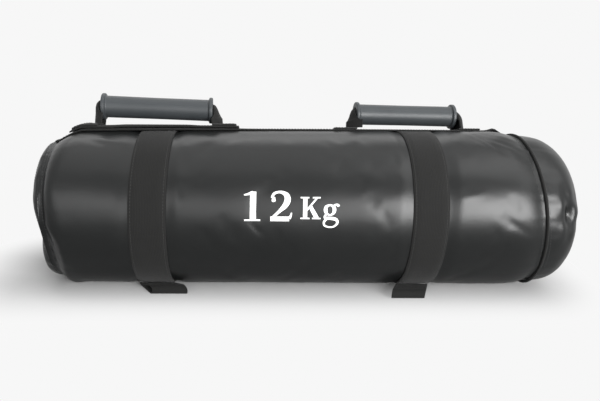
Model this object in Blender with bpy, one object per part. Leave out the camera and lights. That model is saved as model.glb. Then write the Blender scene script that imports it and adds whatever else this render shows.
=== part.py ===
# A sandbag trainer that lies on the floor: a round bag of coated sheet with two webbing bands, a webbing
# strip that carries two handles with moulded grips, two bottom loops, and a zip at the back. Foam and sand
# sacks are inside.
# Metres. +X runs along the bag to its right end, +Y points away from the printed front, and +Z points up.
# The origin is on the floor, halfway along the bag. Angles round the bag start at the front and rise over
# the top.

import math

import bmesh
import bpy
from mathutils import Matrix, Vector

# Bag body: a slightly conical roll of sheet, pressed flat where it lies on the floor
BAG_RADIUS = 0.0892
TAPER_SHARE = 0.0101
SAG = 0.004
SEAM_LEFT_X = -0.2585
SEAM_RIGHT_X = 0.276
SHEET_THICKNESS = 0.0012
SEAM_FLAT = 0.005
SHOULDER_LEFT_LENGTH = 0.032
SHOULDER_LEFT_DROP = 0.0125
SHOULDER_RIGHT_LENGTH = 0.031
SHOULDER_RIGHT_DROP = 0.0046
LEAN_LEFT_SHARE = 0.05
LEAN_RIGHT_SHARE = 0.11
ROUND_STEPS = 36
SHOULDER_LEFT_STEPS = 3
SHOULDER_RIGHT_STEPS = 2

# Clearance between pieces that lie against each other
GAP = 0.0003

# End caps: cups of the same sheet, the right one filled out and the left one slack
CAP_RIGHT_DEPTH = 0.053
CAP_LEFT_DEPTH = 0.0165
CAP_RIGHT_POWERS = (2.8, 3.2)
CAP_LEFT_POWERS = (2.0, 2.2)
CAP_RING_SHARES = (0.0, 0.35, 0.6, 0.78, 0.9, 0.97)
CAP_LEAN_FADE_SHARE = 0.6
CAP_LIFT_FADE_SHARE = 0.3

# Piping over the two end seams
PIPING_RADIUS = 0.0018
PIPING_GAP = 0.0004
PIPING_FADE = 0.020
PIPING_SIDES = 6

# Webbing, one width for the bands, the strip, the handles and the loops
WEBBING_WIDTH = 0.038
WEBBING_THICKNESS = 0.0018
WEBBING_STEPS = 6

# Bands round the body, sunk into it
BAND_SPACING = 0.295
WAIST_FADE = 0.010

# Strip along the handle side, which winds slightly round the bag
STRIP_ANGLE = 112
STRIP_TWIST = 11
STRIP_STATION_SPACING = 0.055

# Handles: base patch, sewn tails, and webbing that flares up and runs rolled through the grip
HANDLE_OFFSET = -0.0037
TAIL_LENGTH = 0.027
TAIL_UNDER_FOOT = 0.0098
BASE_BEYOND_TAIL = 0.00305
FOOT_REACH = 0.0105
GRIP_LEFT_HEIGHT = 0.0191
GRIP_RIGHT_HEIGHT = 0.0209
HANDLE_LEFT_RISE = 0.004
HANDLE_RIGHT_RISE = 0.0
ROLL_SLIT = 0.0015
RUN_OUT = 0.0006
FAN_PIVOT = 0.0016
FAN_TURNS = (0, 20, 40, 60, 80)
FAN_OPENINGS = (250, 180, 132, 108, 98)
FOOT_OPENING = 92
WEBBING_ARC_STEPS = 12

# Grips: tubes with an end flange at each end
GRIP_LENGTH = 0.1245
GRIP_RADIUS = 0.0123
GRIP_WAIST_DROP = 0.0002
FLANGE_RADIUS = 0.0150
FLANGE_WIDTH = 0.0042
FLANGE_ROUND = 0.0012
FLANGE_FILLET = 0.0016
BORE_CLEARANCE = 0.0008
BORE_CHAMFER = 0.0010
GRIP_STEPS = 24
FLANGE_STEPS = 2

# Bottom loops, sewn to the bands in front of where the bag touches the floor
LOOP_ANGLE = -62.0
LOOP_LEFT_LENGTH = 0.0150
LOOP_RIGHT_LENGTH = 0.0225
LOOP_TIP_RADIUS = 0.0054
LOOP_FLOOR_GAP = 0.0004
LOOP_SEWN_LENGTH = 0.0055
LOOP_NIP_RADIUS = 0.0004
LOOP_HINGE_GAP = 0.0005
LOOP_LEFT_SKEW_SHARE = 0.85
LOOP_RIGHT_SKEW_SHARE = 0.4
LOOP_ROOT_STEPS = 4
LOOP_TIP_STEPS = 10

# Zip in a window of the panel, halfway up the back
ZIP_ANGLE = 180.0
WINDOW_BAND_SPACE = 0.0165
TAPE_OVERHANG = 0.0015
TAPE_WIDTH = 0.0129
TAPE_THICKNESS = 0.0008
TAPE_SEAT_GAP = 0.0006
COIL_WIDTH = 0.0028
COIL_HEIGHT = 0.0020
COIL_SPACING = 0.0012
COIL_END_GAP = 0.0005
COIL_SEAM_HEIGHT = 0.0002
STOP_LENGTH = 0.0030
STOP_INSET = 0.0010
STOP_WALL = 0.0012
SLIDER_LENGTH = 0.016
SLIDER_WALL = 0.0015
SLIDER_PLATE = 0.0012
SLIDER_PLATE_HALF_WIDTH = 0.0045
SLIDER_NOSE_EXTRA = 0.0010
SLIDER_WEB = 0.0005
SLIDER_END_GAP = 0.002
CROWN_LENGTH = 0.010
CROWN_HEIGHT = 0.0044
CROWN_WALL = 0.0013
CROWN_WIDTH = 0.0022
CROWN_SINK = 0.0005
PULL_LENGTH = 0.030
PULL_THICKNESS = 0.0015
PULL_BAR_WIDTH = 0.0015
PULL_BAR_LIFT = 0.0013
PULL_EYE_HALF_WIDTH = 0.0034
PULL_TAB_HALF_WIDTH = 0.0045
PULL_EYE_LENGTH = 0.0057
PULL_NECK = 0.0026
PULL_END_ROUND = 0.0030
PULL_END_STEPS = 4

# Foam and sand inside
FOAM_THICKNESS = 0.010
FOAM_END_GAP = 0.0015
SLIDER_TO_FOAM = 0.0009
SACK_CLEARANCE = 0.0006
SACK_SKIN = 0.0006
SACK_END_SPACE = 0.008
SACK_END_ROUND = 0.020
SACK_SHOULDER = 0.024
NECK_RADIUS = 0.012
NECK_LENGTH = 0.018
NECK_MIDDLE_SPACE = 0.008
TIE_RADIUS = 0.0016
TIE_SEAT_SHARE = 0.45
TIE_SIDES = 4
SACK_STEPS = 20
ARC_STEPS = 3

# Beyond the faces that a cutter goes through, how near points are to count as one, and from what angle in
# degrees an edge is shown sharp
OVERRUN = 0.002
MERGE_DISTANCE = 0.000002
SHARP_ANGLE = 35

# Rounds in which a place on the bag is worked out from a guess
SEATING_ROUNDS = 4

# Colours
COATED_BLACK = (0.030, 0.031, 0.031)
MATTE_BLACK = (0.022, 0.022, 0.021)
GRIP_GREY = (0.145, 0.155, 0.160)
FOAM_GREY = (0.55, 0.56, 0.58)
SACK_BLACK = (0.05, 0.05, 0.055)
SAND_TAN = (0.47, 0.38, 0.26)
TIE_WHITE = (0.75, 0.75, 0.72)
METAL_GREY = (0.30, 0.30, 0.31)

# Worked out from the sizes above
BAND_X = {"left": -BAND_SPACING / 2, "right": BAND_SPACING / 2}
SEAM_X = {"left": SEAM_LEFT_X, "right": SEAM_RIGHT_X}
OUTWARD = {"left": -1, "right": 1}
CAP_DEPTH = {"left": CAP_LEFT_DEPTH, "right": CAP_RIGHT_DEPTH}
CAP_POWERS = {"left": CAP_LEFT_POWERS, "right": CAP_RIGHT_POWERS}
WAIST_DEPTH = WEBBING_THICKNESS + GAP
SEAM_LIFT = 2 * PIPING_RADIUS + PIPING_GAP
LEAN_START = BAND_SPACING / 2 + WEBBING_WIDTH / 2 + GAP + WAIST_FADE
LEAN_SHARES = {"left": LEAN_LEFT_SHARE, "right": LEAN_RIGHT_SHARE}
GRIP_HEIGHT = {"left": GRIP_LEFT_HEIGHT, "right": GRIP_RIGHT_HEIGHT}
HANDLE_RISE = {"left": HANDLE_LEFT_RISE, "right": HANDLE_RIGHT_RISE}
LOOP_LENGTH = {"left": LOOP_LEFT_LENGTH, "right": LOOP_RIGHT_LENGTH}
LOOP_SKEW_SHARES = {"left": LOOP_LEFT_SKEW_SHARE, "right": LOOP_RIGHT_SKEW_SHARE}
STRIP_TOP = GAP + WEBBING_THICKNESS
LAYER = GAP + WEBBING_THICKNESS
SEAT_TOP = {"left": STRIP_TOP + LAYER, "right": STRIP_TOP}
ROLL_RADIUS = (WEBBING_WIDTH + ROLL_SLIT) / (2 * math.pi)
BORE_RADIUS = ROLL_RADIUS + WEBBING_THICKNESS / 2 + BORE_CLEARANCE
FOOT_X = GRIP_LENGTH / 2 + FOOT_REACH
TAIL_NEAR = FOOT_X - TAIL_UNDER_FOOT
ZIP_WINDOW_LENGTH = BAND_SPACING - WEBBING_WIDTH - 2 * WINDOW_BAND_SPACE
TAPE_FACE = -(SHEET_THICKNESS + TAPE_SEAT_GAP)
TAPE_BACK = TAPE_FACE - TAPE_THICKNESS
COIL_TOP = TAPE_FACE + COIL_HEIGHT
COIL_EDGE = COIL_SPACING / 2 + COIL_WIDTH
FOAM_INSET = -TAPE_BACK + GAP + SLIDER_PLATE + SLIDER_TO_FOAM
FOAM_FLOOR = WAIST_DEPTH + SHEET_THICKNESS + GAP
ROUND_ANGLES = [(step + 0.5) * 360 / ROUND_STEPS for step in range(ROUND_STEPS)]


def within(value, low, high):
    return max(low, min(high, value))


def eased(share):
    share = within(share, 0, 1)
    return share * share * (3 - 2 * share)


# The bag's form


def straight_radius(x):
    return BAG_RADIUS + TAPER_SHARE * x


def axis_height(x):
    return straight_radius(x) - SAG


def plain_radius(x):
    # The radius with the shoulders that draw in to the two end seams
    left_start = SEAM_LEFT_X + SHOULDER_LEFT_LENGTH
    right_start = SEAM_RIGHT_X - SHOULDER_RIGHT_LENGTH
    from_left = within((left_start - x) / (SHOULDER_LEFT_LENGTH - SEAM_FLAT), 0, 1)
    from_right = within((x - right_start) / (SHOULDER_RIGHT_LENGTH - SEAM_FLAT), 0, 1)
    return straight_radius(x) - SHOULDER_LEFT_DROP * from_left**2 - SHOULDER_RIGHT_DROP * from_right**2


def waist_share(x):
    nearest = min(abs(x - band_x) for band_x in BAND_X.values())
    return 1 - within((nearest - WEBBING_WIDTH / 2 - GAP) / WAIST_FADE, 0, 1)


def seam_share(x):
    nearest = min(abs(x - seam_x) for seam_x in SEAM_X.values())
    return 1 - within((nearest - SEAM_FLAT) / PIPING_FADE, 0, 1)


def lean_share(x):
    # Both ends lean, so that their tops are further left than their bottoms
    side = "left" if x < 0 else "right"
    return LEAN_SHARES[side] * eased((abs(x) - LEAN_START) / (abs(SEAM_X[side]) - LEAN_START))


def around(x, radius, angle, floor, lean):
    # A point at this radius and angle round the bag's axis, not below the floor, leaning in toward the top
    turn = math.radians(angle)
    z = max(axis_height(x) + radius * math.sin(turn), floor)
    return Vector((x - lean * (z - axis_height(x)), -radius * math.cos(turn), z))


def body_point(x, angle, inset, waist=0, floor=None):
    # A point on the bag's surface, sunk in by the inset; what lies flat on the floor is sunk in there too
    if floor is None:
        floor = inset + waist * waist_share(x) + SEAM_LIFT * seam_share(x)
    radius = plain_radius(x) - inset - waist * waist_share(x)
    return around(x, radius, angle, floor, lean_share(x))


def cap_point(side, share, angle, inset):
    # A point on an end cap: the share runs from the seam to the middle of the end
    seam_x = SEAM_X[side]
    rim_power, end_power = CAP_POWERS[side]
    radius = (plain_radius(seam_x) - inset) * (1 - share**rim_power) ** (1 / end_power)
    floor = inset + SEAM_LIFT * max(0, 1 - share / CAP_LIFT_FADE_SHARE)
    lean = lean_share(seam_x) * (1 - CAP_LEAN_FADE_SHARE * share)
    point = around(seam_x, radius, angle, floor, lean)
    point.x += OUTWARD[side] * (GAP + (CAP_DEPTH[side] - inset) * share)
    return point


def strip_angle(x):
    return STRIP_ANGLE + STRIP_TWIST * x / BAND_SPACING


def strip_angles(x):
    half = math.degrees(WEBBING_WIDTH / 2 / straight_radius(x))
    return [strip_angle(x) + half * (2 * step / WEBBING_STEPS - 1) for step in range(WEBBING_STEPS + 1)]


def strip_station(x):
    # The station whose point on the strip's middle line lies at this x although the end leans
    station = x
    for _ in range(SEATING_ROUNDS):
        height = (straight_radius(station) + STRIP_TOP) * math.sin(math.radians(strip_angle(station)))
        station = x + lean_share(station) * height
    return station


def seat_on_bag(frame, point, height):
    # Moves a point along the frame's Z until it is this high above the bag
    for _ in range(SEATING_ROUNDS):
        place = frame @ point
        above = math.hypot(place.y, place.z - axis_height(place.x)) - straight_radius(place.x)
        point.z += height - above
    return point


def spread(start, end, count):
    return [start + (end - start) * step / count for step in range(count + 1)]


# Solids from rows of points


def finish(name, colour, roughness, metallic=0.0):
    material = bpy.data.materials.new(name)
    material.use_nodes = True
    shader = material.node_tree.nodes["Principled BSDF"]
    shader.inputs["Base Color"].default_value = (*colour, 1)
    shader.inputs["Roughness"].default_value = roughness
    shader.inputs["Metallic"].default_value = metallic
    material.diffuse_color = (*colour, 1)
    return material


def add_object(name, shape, look, parent=None):
    # Turns the bmesh into an object with its own material, smooth where its faces meet at a small angle
    bmesh.ops.recalc_face_normals(shape, faces=shape.faces)
    mesh = bpy.data.meshes.new(name)
    shape.to_mesh(mesh)
    shape.free()
    mesh.materials.append(finish(name, *look))
    mesh.shade_smooth()
    mesh.set_sharp_from_angle(angle=math.radians(SHARP_ANGLE))
    made = bpy.data.objects.new(name, mesh)
    bpy.context.scene.collection.objects.link(made)
    made.parent = parent
    return made


def add_empty(name, matrix, parent=None):
    made = bpy.data.objects.new(name, None)
    bpy.context.scene.collection.objects.link(made)
    made.parent = parent
    made.matrix_local = matrix
    return made


def add_rows(shape, rows):
    return [[shape.verts.new(point) for point in row] for row in rows]


def skin_rows(shape, rows, closed_across, closed_along=False, left_out=()):
    # Triangles between neighbouring rows, all cut the same way, so that nested skins keep their distance;
    # a row of one point is a pole
    across = max(len(row) for row in rows)
    cells = across if closed_across else across - 1
    row_pairs = list(zip(rows, rows[1:] + rows[:1] if closed_along else rows[1:]))
    for row_number, (near, far) in enumerate(row_pairs):
        for cell in range(cells):
            if (row_number, cell) in left_out:
                continue
            near_pair = [near[cell % len(near)], near[(cell + 1) % across % len(near)]]
            far_pair = [far[cell % len(far)], far[(cell + 1) % across % len(far)]]
            if len(near) > 1:
                shape.faces.new((*near_pair, far_pair[1]))
            if len(far) > 1:
                shape.faces.new((near_pair[0], far_pair[1], far_pair[0]))


def loft(name, rows, look, closed_along=False, ends=False, parent=None):
    # One closed skin through closed rows, with flat ends if the rows at the ends aren't poles
    shape = bmesh.new()
    placed = add_rows(shape, rows)
    skin_rows(shape, placed, closed_across=True, closed_along=closed_along)
    if ends:
        shape.faces.new(placed[0])
        shape.faces.new(placed[-1])
    bmesh.ops.remove_doubles(shape, verts=shape.verts, dist=MERGE_DISTANCE)
    return add_object(name, shape, look, parent)


def shell(name, outer, inner, look, closed_across=True, left_out=(), parent=None):
    # A sheet with thickness: an outer and an inner skin, joined by walls along every open edge
    shape = bmesh.new()
    outer_rows = add_rows(shape, outer)
    inner_rows = add_rows(shape, inner)
    skin_rows(shape, outer_rows, closed_across, left_out=left_out)
    skin_rows(shape, inner_rows, closed_across, left_out=left_out)
    partner = {}
    for outer_row, inner_row in zip(outer_rows, inner_rows):
        partner.update(zip(outer_row, inner_row))
    open_edges = [edge for edge in shape.edges if len(edge.link_faces) == 1]
    for edge in open_edges:
        near, far = edge.verts
        if near in partner and far in partner:
            shape.faces.new((near, far, partner[far], partner[near]))
    return add_object(name, shape, look, parent)


def turned(name, profile, look, steps, parent=None, closed_profile=True):
    # Spins a profile of (along, out) points about the X axis
    shape = bmesh.new()
    points = [shape.verts.new((along, 0, out)) for along, out in profile]
    ends = points[1:] + points[:1] if closed_profile else points[1:]
    edges = [shape.edges.new(pair) for pair in zip(points, ends)]
    axis = Vector((1, 0, 0))
    bmesh.ops.spin(
        shape, geom=points + edges, cent=Vector(), axis=axis, angle=2 * math.pi, steps=steps, use_merge=True
    )
    bmesh.ops.remove_doubles(shape, verts=shape.verts, dist=MERGE_DISTANCE)
    return add_object(name, shape, look, parent)


def plate(name, outline, low, high, look, parent=None, flat="y"):
    # A flat outline of (x, other) points, thick from low to high along the flat's own direction
    shape = bmesh.new()
    if flat == "y":
        points = [shape.verts.new((x, low, other)) for x, other in outline]
        thickness = Vector((0, high - low, 0))
    else:
        points = [shape.verts.new((x, other, low)) for x, other in outline]
        thickness = Vector((0, 0, high - low))
    face = shape.faces.new(points)
    grown = bmesh.ops.extrude_face_region(shape, geom=[face])["geom"]
    moved = [item for item in grown if isinstance(item, bmesh.types.BMVert)]
    bmesh.ops.translate(shape, vec=thickness, verts=moved)
    return add_object(name, shape, look, parent)


def combine(target, tool, operation):
    # Cuts or joins the tool, and hides it
    modifier = target.modifiers.new(tool.name, "BOOLEAN")
    modifier.operation = operation
    modifier.object = tool
    modifier.solver = "EXACT"
    tool.hide_render = True
    tool.display_type = "WIRE"


def arc(centre_along, centre_out, radius, start, end, steps):
    # Points of a circular arc in a profile, from one angle to another in degrees
    turns = [math.radians(angle) for angle in spread(start, end, steps)]
    return [(centre_along + radius * math.cos(turn), centre_out + radius * math.sin(turn)) for turn in turns]


# The coated sheet


def shoulder_stations(side):
    # From the seam's flat to where the shoulder ends
    if side == "left":
        return spread(SEAM_LEFT_X + SEAM_FLAT, SEAM_LEFT_X + SHOULDER_LEFT_LENGTH, SHOULDER_LEFT_STEPS)
    return spread(SEAM_RIGHT_X - SEAM_FLAT, SEAM_RIGHT_X - SHOULDER_RIGHT_LENGTH, SHOULDER_RIGHT_STEPS)


def panel_stations():
    stations = [SEAM_LEFT_X, SEAM_RIGHT_X, *shoulder_stations("left"), *shoulder_stations("right")]
    stations += [-ZIP_WINDOW_LENGTH / 2, ZIP_WINDOW_LENGTH / 2]
    for band_x in BAND_X.values():
        for away in (WEBBING_WIDTH / 2 + GAP, WEBBING_WIDTH / 2 + GAP + WAIST_FADE):
            stations += [band_x - away, band_x + away]
    return sorted(stations)


def make_main_panel():
    stations = panel_stations()

    def rows(inset):
        return [[body_point(x, angle, inset, WAIST_DEPTH) for angle in ROUND_ANGLES] for x in stations]

    # The zip's window is the one cell round the bag that holds the zip's angle
    window_cell = int((ZIP_ANGLE - ROUND_ANGLES[0]) // (360 / ROUND_STEPS))
    window_row = stations.index(-ZIP_WINDOW_LENGTH / 2)
    left_out = {(window_row, window_cell)}
    shell("main_panel", rows(0), rows(SHEET_THICKNESS), (COATED_BLACK, 0.32), left_out=left_out)


def toward_right(side, rings):
    # Rings that run outward from a seam, put in the order that the panel's stations have
    return rings if side == "right" else rings[::-1]


def cap_rings(side, inset):
    return [[cap_point(side, share, angle, inset) for angle in ROUND_ANGLES] for share in CAP_RING_SHARES]


def make_end_cap(side):
    def rows(inset):
        return toward_right(side, cap_rings(side, inset) + [[cap_point(side, 1, 0, inset)]])

    shell("end_cap_" + side, rows(0), rows(SHEET_THICKNESS), (COATED_BLACK, 0.32))


def make_piping(side):
    seam_x = SEAM_X[side] + OUTWARD[side] * GAP / 2
    rows = []
    for angle in ROUND_ANGLES:
        middle = body_point(seam_x, angle, -PIPING_RADIUS - PIPING_GAP)
        turn = math.radians(angle)
        out = Vector((0, -math.cos(turn), math.sin(turn)))
        along = Vector((1, 0, 0))
        turns = [2 * math.pi * step / PIPING_SIDES for step in range(PIPING_SIDES)]
        rows.append([middle + PIPING_RADIUS * (along * math.cos(t) + out * math.sin(t)) for t in turns])
    loft("piping_" + side, rows, (MATTE_BLACK, 0.8), closed_along=True)


# The webbing sewn to the bag


def make_band(side):
    stations = [BAND_X[side] - WEBBING_WIDTH / 2, BAND_X[side] + WEBBING_WIDTH / 2]
    outer = [[body_point(x, angle, 0, floor=0) for angle in ROUND_ANGLES] for x in stations]
    inner = [
        [body_point(x, angle, WEBBING_THICKNESS, floor=WEBBING_THICKNESS) for angle in ROUND_ANGLES]
        for x in stations
    ]
    shell("band_" + side, outer, inner, (MATTE_BLACK, 0.9))


def webbing_on_strip(name, stations, low, look):
    # A flat piece of webbing that follows the strip's line, its underside this far above the bag
    outer = [[body_point(x, a, -low - WEBBING_THICKNESS) for a in strip_angles(x)] for x in stations]
    inner = [[body_point(x, a, -low) for a in strip_angles(x)] for x in stations]
    shell(name, outer, inner, look, closed_across=False)


def stations_between(start, end):
    # Every turn of the shoulders and of the leaning right end gets a station
    turns = shoulder_stations("left") + shoulder_stations("right")
    inner = [x for x in turns if start + GAP < x < end - GAP]
    count = max(1, round((end - start) / STRIP_STATION_SPACING))
    inner += [x for x in spread(start, end, count)[1:-1] if min(abs(x - turn) for turn in turns) > GAP]
    return [start, *sorted(inner), end]


def make_top_strip():
    end_space = PIPING_RADIUS + PIPING_GAP
    stations = stations_between(SEAM_LEFT_X + end_space, SEAM_RIGHT_X - end_space)
    webbing_on_strip("top_strip", stations, GAP, (MATTE_BLACK, 0.9))


def handle_x(side):
    return BAND_X[side] + HANDLE_OFFSET


def make_handle_base():
    # A second layer of webbing on the strip under the left handle, a little longer than where its tails end
    reach = TAIL_NEAR + TAIL_LENGTH + BASE_BEYOND_TAIL
    ends = [strip_station(handle_x("left") + away) for away in (-reach, reach)]
    webbing_on_strip("handle_left_base", stations_between(*ends), STRIP_TOP + GAP, (MATTE_BLACK, 0.9))


def make_handle_tails(side):
    for which, direction in (("a", -1), ("b", 1)):
        reaches = sorted((direction * TAIL_NEAR, direction * (TAIL_NEAR + TAIL_LENGTH)))
        ends = [strip_station(handle_x(side) + reach) for reach in reaches]
        name = "handle_" + side + "_tail_" + which
        webbing_on_strip(name, stations_between(*ends), SEAT_TOP[side] + GAP, (MATTE_BLACK, 0.9))


# The handles


def handle_frame(side):
    # The hinge line joins the two places where the webbing leaves the bag, the left one raised a little;
    # Z points out from the bag
    feet = [strip_station(handle_x(side) + direction * FOOT_X) for direction in (-1, 1)]
    rises = (HANDLE_RISE[side], 0)
    ends = [body_point(x, strip_angle(x), -SEAT_TOP[side] - rise) for x, rise in zip(feet, rises)]
    along = (ends[1] - ends[0]).normalized()
    turn = math.radians(strip_angle(handle_x(side)))
    out = Vector((0, -math.cos(turn), math.sin(turn)))
    across = out.cross(along).normalized()
    frame = Matrix((along, across, along.cross(across))).transposed().to_4x4()
    frame.translation = (ends[0] + ends[1]) / 2
    return frame


def webbing_section(crown, turn, opening):
    # The webbing's cross-section: an arc of the webbing's own width that has opened out this far. The turn
    # tells how far the webbing has bent down from the grip's line toward the foot.
    arc_angle = math.radians(opening)
    radius = WEBBING_WIDTH / arc_angle
    out = Vector((math.sin(math.radians(turn)), 0, math.cos(math.radians(turn))))
    across = Vector((0, 1, 0))
    centre = crown - out * radius
    turns = [arc_angle * (step / WEBBING_ARC_STEPS - 0.5) for step in range(WEBBING_ARC_STEPS + 1)]
    spokes = [out * math.cos(t) + across * math.sin(t) for t in turns]
    outer = [centre + spoke * (radius + WEBBING_THICKNESS / 2) for spoke in spokes]
    inner = [centre + spoke * (radius - WEBBING_THICKNESS / 2) for spoke in spokes]
    return outer + inner[::-1]


def arc_depth(opening):
    # How far the edges of such a cross-section lie below its crown
    arc_angle = math.radians(opening)
    return WEBBING_WIDTH / arc_angle * (1 - math.cos(arc_angle / 2))


def webbing_half(side, frame, direction):
    # The cross-sections from the end of the grip to one foot. They fan out round a line below the grip's
    # end, near which the webbing's two edges stay.
    top = GRIP_HEIGHT[side] + ROLL_RADIUS
    rolled = math.degrees(WEBBING_WIDTH / ROLL_RADIUS)
    sections = [webbing_section(Vector((GRIP_LENGTH / 2 - RUN_OUT, 0, top)), 0, rolled)]
    start = GRIP_LENGTH / 2 + RUN_OUT
    reach = arc_depth(FAN_OPENINGS[0]) + FAN_PIVOT
    pivot = Vector((start, 0, top - reach))
    for turn, opening in zip(FAN_TURNS, FAN_OPENINGS):
        out = Vector((math.sin(math.radians(turn)), 0, math.cos(math.radians(turn))))
        crown = pivot + out * (arc_depth(opening) + FAN_PIVOT)
        sections.append(webbing_section(crown, turn, opening))
    sections.append(webbing_section(Vector((FOOT_X, 0, 0)), 90, FOOT_OPENING))
    mirror = Vector((direction, 1, 1))
    sections = [[point * mirror for point in section] for section in sections]
    # The foot follows the round top of the tail that it stands on
    sections[-1] = [seat_on_bag(frame, point, SEAT_TOP[side] + LAYER + GAP) for point in sections[-1]]
    return sections


def make_handle_webbing(side, frame, parent):
    rows = webbing_half(side, frame, -1)[::-1] + webbing_half(side, frame, 1)
    loft("handle_" + side + "_webbing", rows, (MATTE_BLACK, 0.9), ends=True, parent=parent)


def grip_profile():
    # From the middle of the tube's outside to its end, round the flange, and back along the bore
    end = GRIP_LENGTH / 2
    flange_in = end - FLANGE_WIDTH
    half = [(0, GRIP_RADIUS - GRIP_WAIST_DROP)]
    half += [(flange_in - FLANGE_FILLET, GRIP_RADIUS), (flange_in, GRIP_RADIUS + FLANGE_FILLET)]
    half += arc(flange_in + FLANGE_ROUND, FLANGE_RADIUS - FLANGE_ROUND, FLANGE_ROUND, 180, 90, FLANGE_STEPS)
    half += arc(end - FLANGE_ROUND, FLANGE_RADIUS - FLANGE_ROUND, FLANGE_ROUND, 90, 0, FLANGE_STEPS)
    half += [(end, BORE_RADIUS + BORE_CHAMFER), (end - BORE_CHAMFER, BORE_RADIUS), (0, BORE_RADIUS)]
    back = [(-along, out) for along, out in half[-2:0:-1]]
    return half + back


def make_grip(side, parent):
    axis = add_empty("grip_" + side + "_spin_axis", Matrix.Translation((0, 0, GRIP_HEIGHT[side])), parent)
    turned("grip_" + side, grip_profile(), (GRIP_GREY, 0.45), GRIP_STEPS, parent=axis)


# The bottom loops


def drop_outline(root, root_radius, tip, tip_radius):
    # The outline round two circles, as the webbing of a loop lies: tight at its root and open at its tip
    away = tip - root
    heading = math.degrees(math.atan2(away.z, away.y))
    slope = math.degrees(math.asin((tip_radius - root_radius) / away.length))
    turns = [(root, root_radius, a) for a in spread(90 + slope, 270 - slope, LOOP_ROOT_STEPS)]
    turns += [(tip, tip_radius, a) for a in spread(-90 - slope, 90 + slope, LOOP_TIP_STEPS)]
    outline = []
    for centre, radius, angle in turns:
        turn = math.radians(heading + angle)
        outline.append(centre + radius * Vector((0, math.cos(turn), math.sin(turn))))
    return outline


def make_loop(side):
    # The hinge line lies against the band; the loop slants toward the middle of the bag, on the floor
    band_x = BAND_X[side]
    root_radius = WEBBING_THICKNESS
    hinge = around(band_x, straight_radius(band_x) + LOOP_HINGE_GAP + root_radius, LOOP_ANGLE, 0, 0)
    frame = add_empty("loop_" + side + "_swing_axis", Matrix.Translation(hinge))
    drop = LOOP_TIP_RADIUS + LOOP_FLOOR_GAP - hinge.z
    length = LOOP_LENGTH[side]
    tip = Vector((0, -math.sqrt(length**2 - drop**2), drop))
    nip = tip * (LOOP_SEWN_LENGTH / length)
    outer = drop_outline(Vector(), root_radius, tip, LOOP_TIP_RADIUS)
    inner = drop_outline(nip, LOOP_NIP_RADIUS, tip, LOOP_TIP_RADIUS - WEBBING_THICKNESS)

    def rows(outline):
        edges = (-WEBBING_WIDTH / 2, WEBBING_WIDTH / 2)
        skew = OUTWARD[side] * LOOP_SKEW_SHARES[side]
        return [[Vector((x + skew * point.y, point.y, point.z)) for point in outline] for x in edges]

    shell("loop_" + side, rows(outer), rows(inner), (MATTE_BLACK, 0.9), parent=frame)


# The zip


def zip_point(x, across, out):
    # A point beside the zip's middle line: across rises up the bag's back, out points away from it
    angle = ZIP_ANGLE - math.degrees(across / straight_radius(x))
    return body_point(x, angle, -out)


def make_zip_tape(name, upward):
    # Half of the zip: the tape under the panel's edge, with its coil row standing up through the window
    tape_end = ZIP_WINDOW_LENGTH / 2 + TAPE_OVERHANG
    coil_end = ZIP_WINDOW_LENGTH / 2 - COIL_END_GAP
    start = COIL_SPACING / 2
    middle = (start + TAPE_WIDTH) / 2
    profile = [(start, TAPE_BACK), (middle, TAPE_BACK), (start + TAPE_WIDTH, TAPE_BACK)]
    profile += [(start + TAPE_WIDTH, TAPE_FACE), (middle, TAPE_FACE), (COIL_EDGE, TAPE_FACE)]
    seam_top = TAPE_FACE + COIL_SEAM_HEIGHT
    stops = [(-tape_end, seam_top), (-coil_end, seam_top), (-coil_end, COIL_TOP)]
    stops += [(-x, top) for x, top in reversed(stops)]
    rows = []
    for x, top in stops:
        section = profile + [(COIL_EDGE, top), (start, top)]
        rows.append([zip_point(x, upward * across, out) for across, out in section])
    loft(name, rows, (MATTE_BLACK, 0.6), ends=True)


def zip_frame(name, x):
    # X along the zip, Y out from the bag, Z up
    place = zip_point(x, 0, 0)
    along = (zip_point(x + SLIDER_LENGTH, 0, 0) - place).normalized()
    up = along.cross(Vector((0, 1, 0))).normalized()
    frame = Matrix((along, up.cross(along), up)).transposed().to_4x4()
    frame.translation = place
    return add_empty(name, frame)


def channel_outline(outer_half_width, top):
    # The upper half of a clamp over both coil rows: a plate with two legs that reach down to the tape
    inner_half_width = COIL_EDGE + GAP
    leg_end = TAPE_FACE + GAP
    right = [(inner_half_width, COIL_TOP + GAP), (inner_half_width, leg_end)]
    right += [(outer_half_width, leg_end), (outer_half_width, top)]
    return right, [(-across, out) for across, out in reversed(right)]


def make_zip_stop(side):
    x = OUTWARD[side] * (ZIP_WINDOW_LENGTH / 2 - STOP_INSET - STOP_LENGTH / 2)
    frame = zip_frame("zip_stop_" + side + "_place", x)
    half_width = COIL_EDGE + GAP + STOP_WALL
    right, left = channel_outline(half_width, COIL_TOP + GAP + STOP_WALL)
    stops = (-STOP_LENGTH / 2, STOP_LENGTH / 2)
    rows = [[Vector((along, out, across)) for across, out in right + left] for along in stops]
    loft("zip_stop_" + side, rows, (METAL_GREY, 0.4, 1.0), ends=True, parent=frame)


def slider_x():
    return ZIP_WINDOW_LENGTH / 2 - STOP_INSET - STOP_LENGTH - SLIDER_END_GAP - SLIDER_LENGTH / 2


def slider_top():
    return COIL_TOP + GAP + SLIDER_WALL


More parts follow.
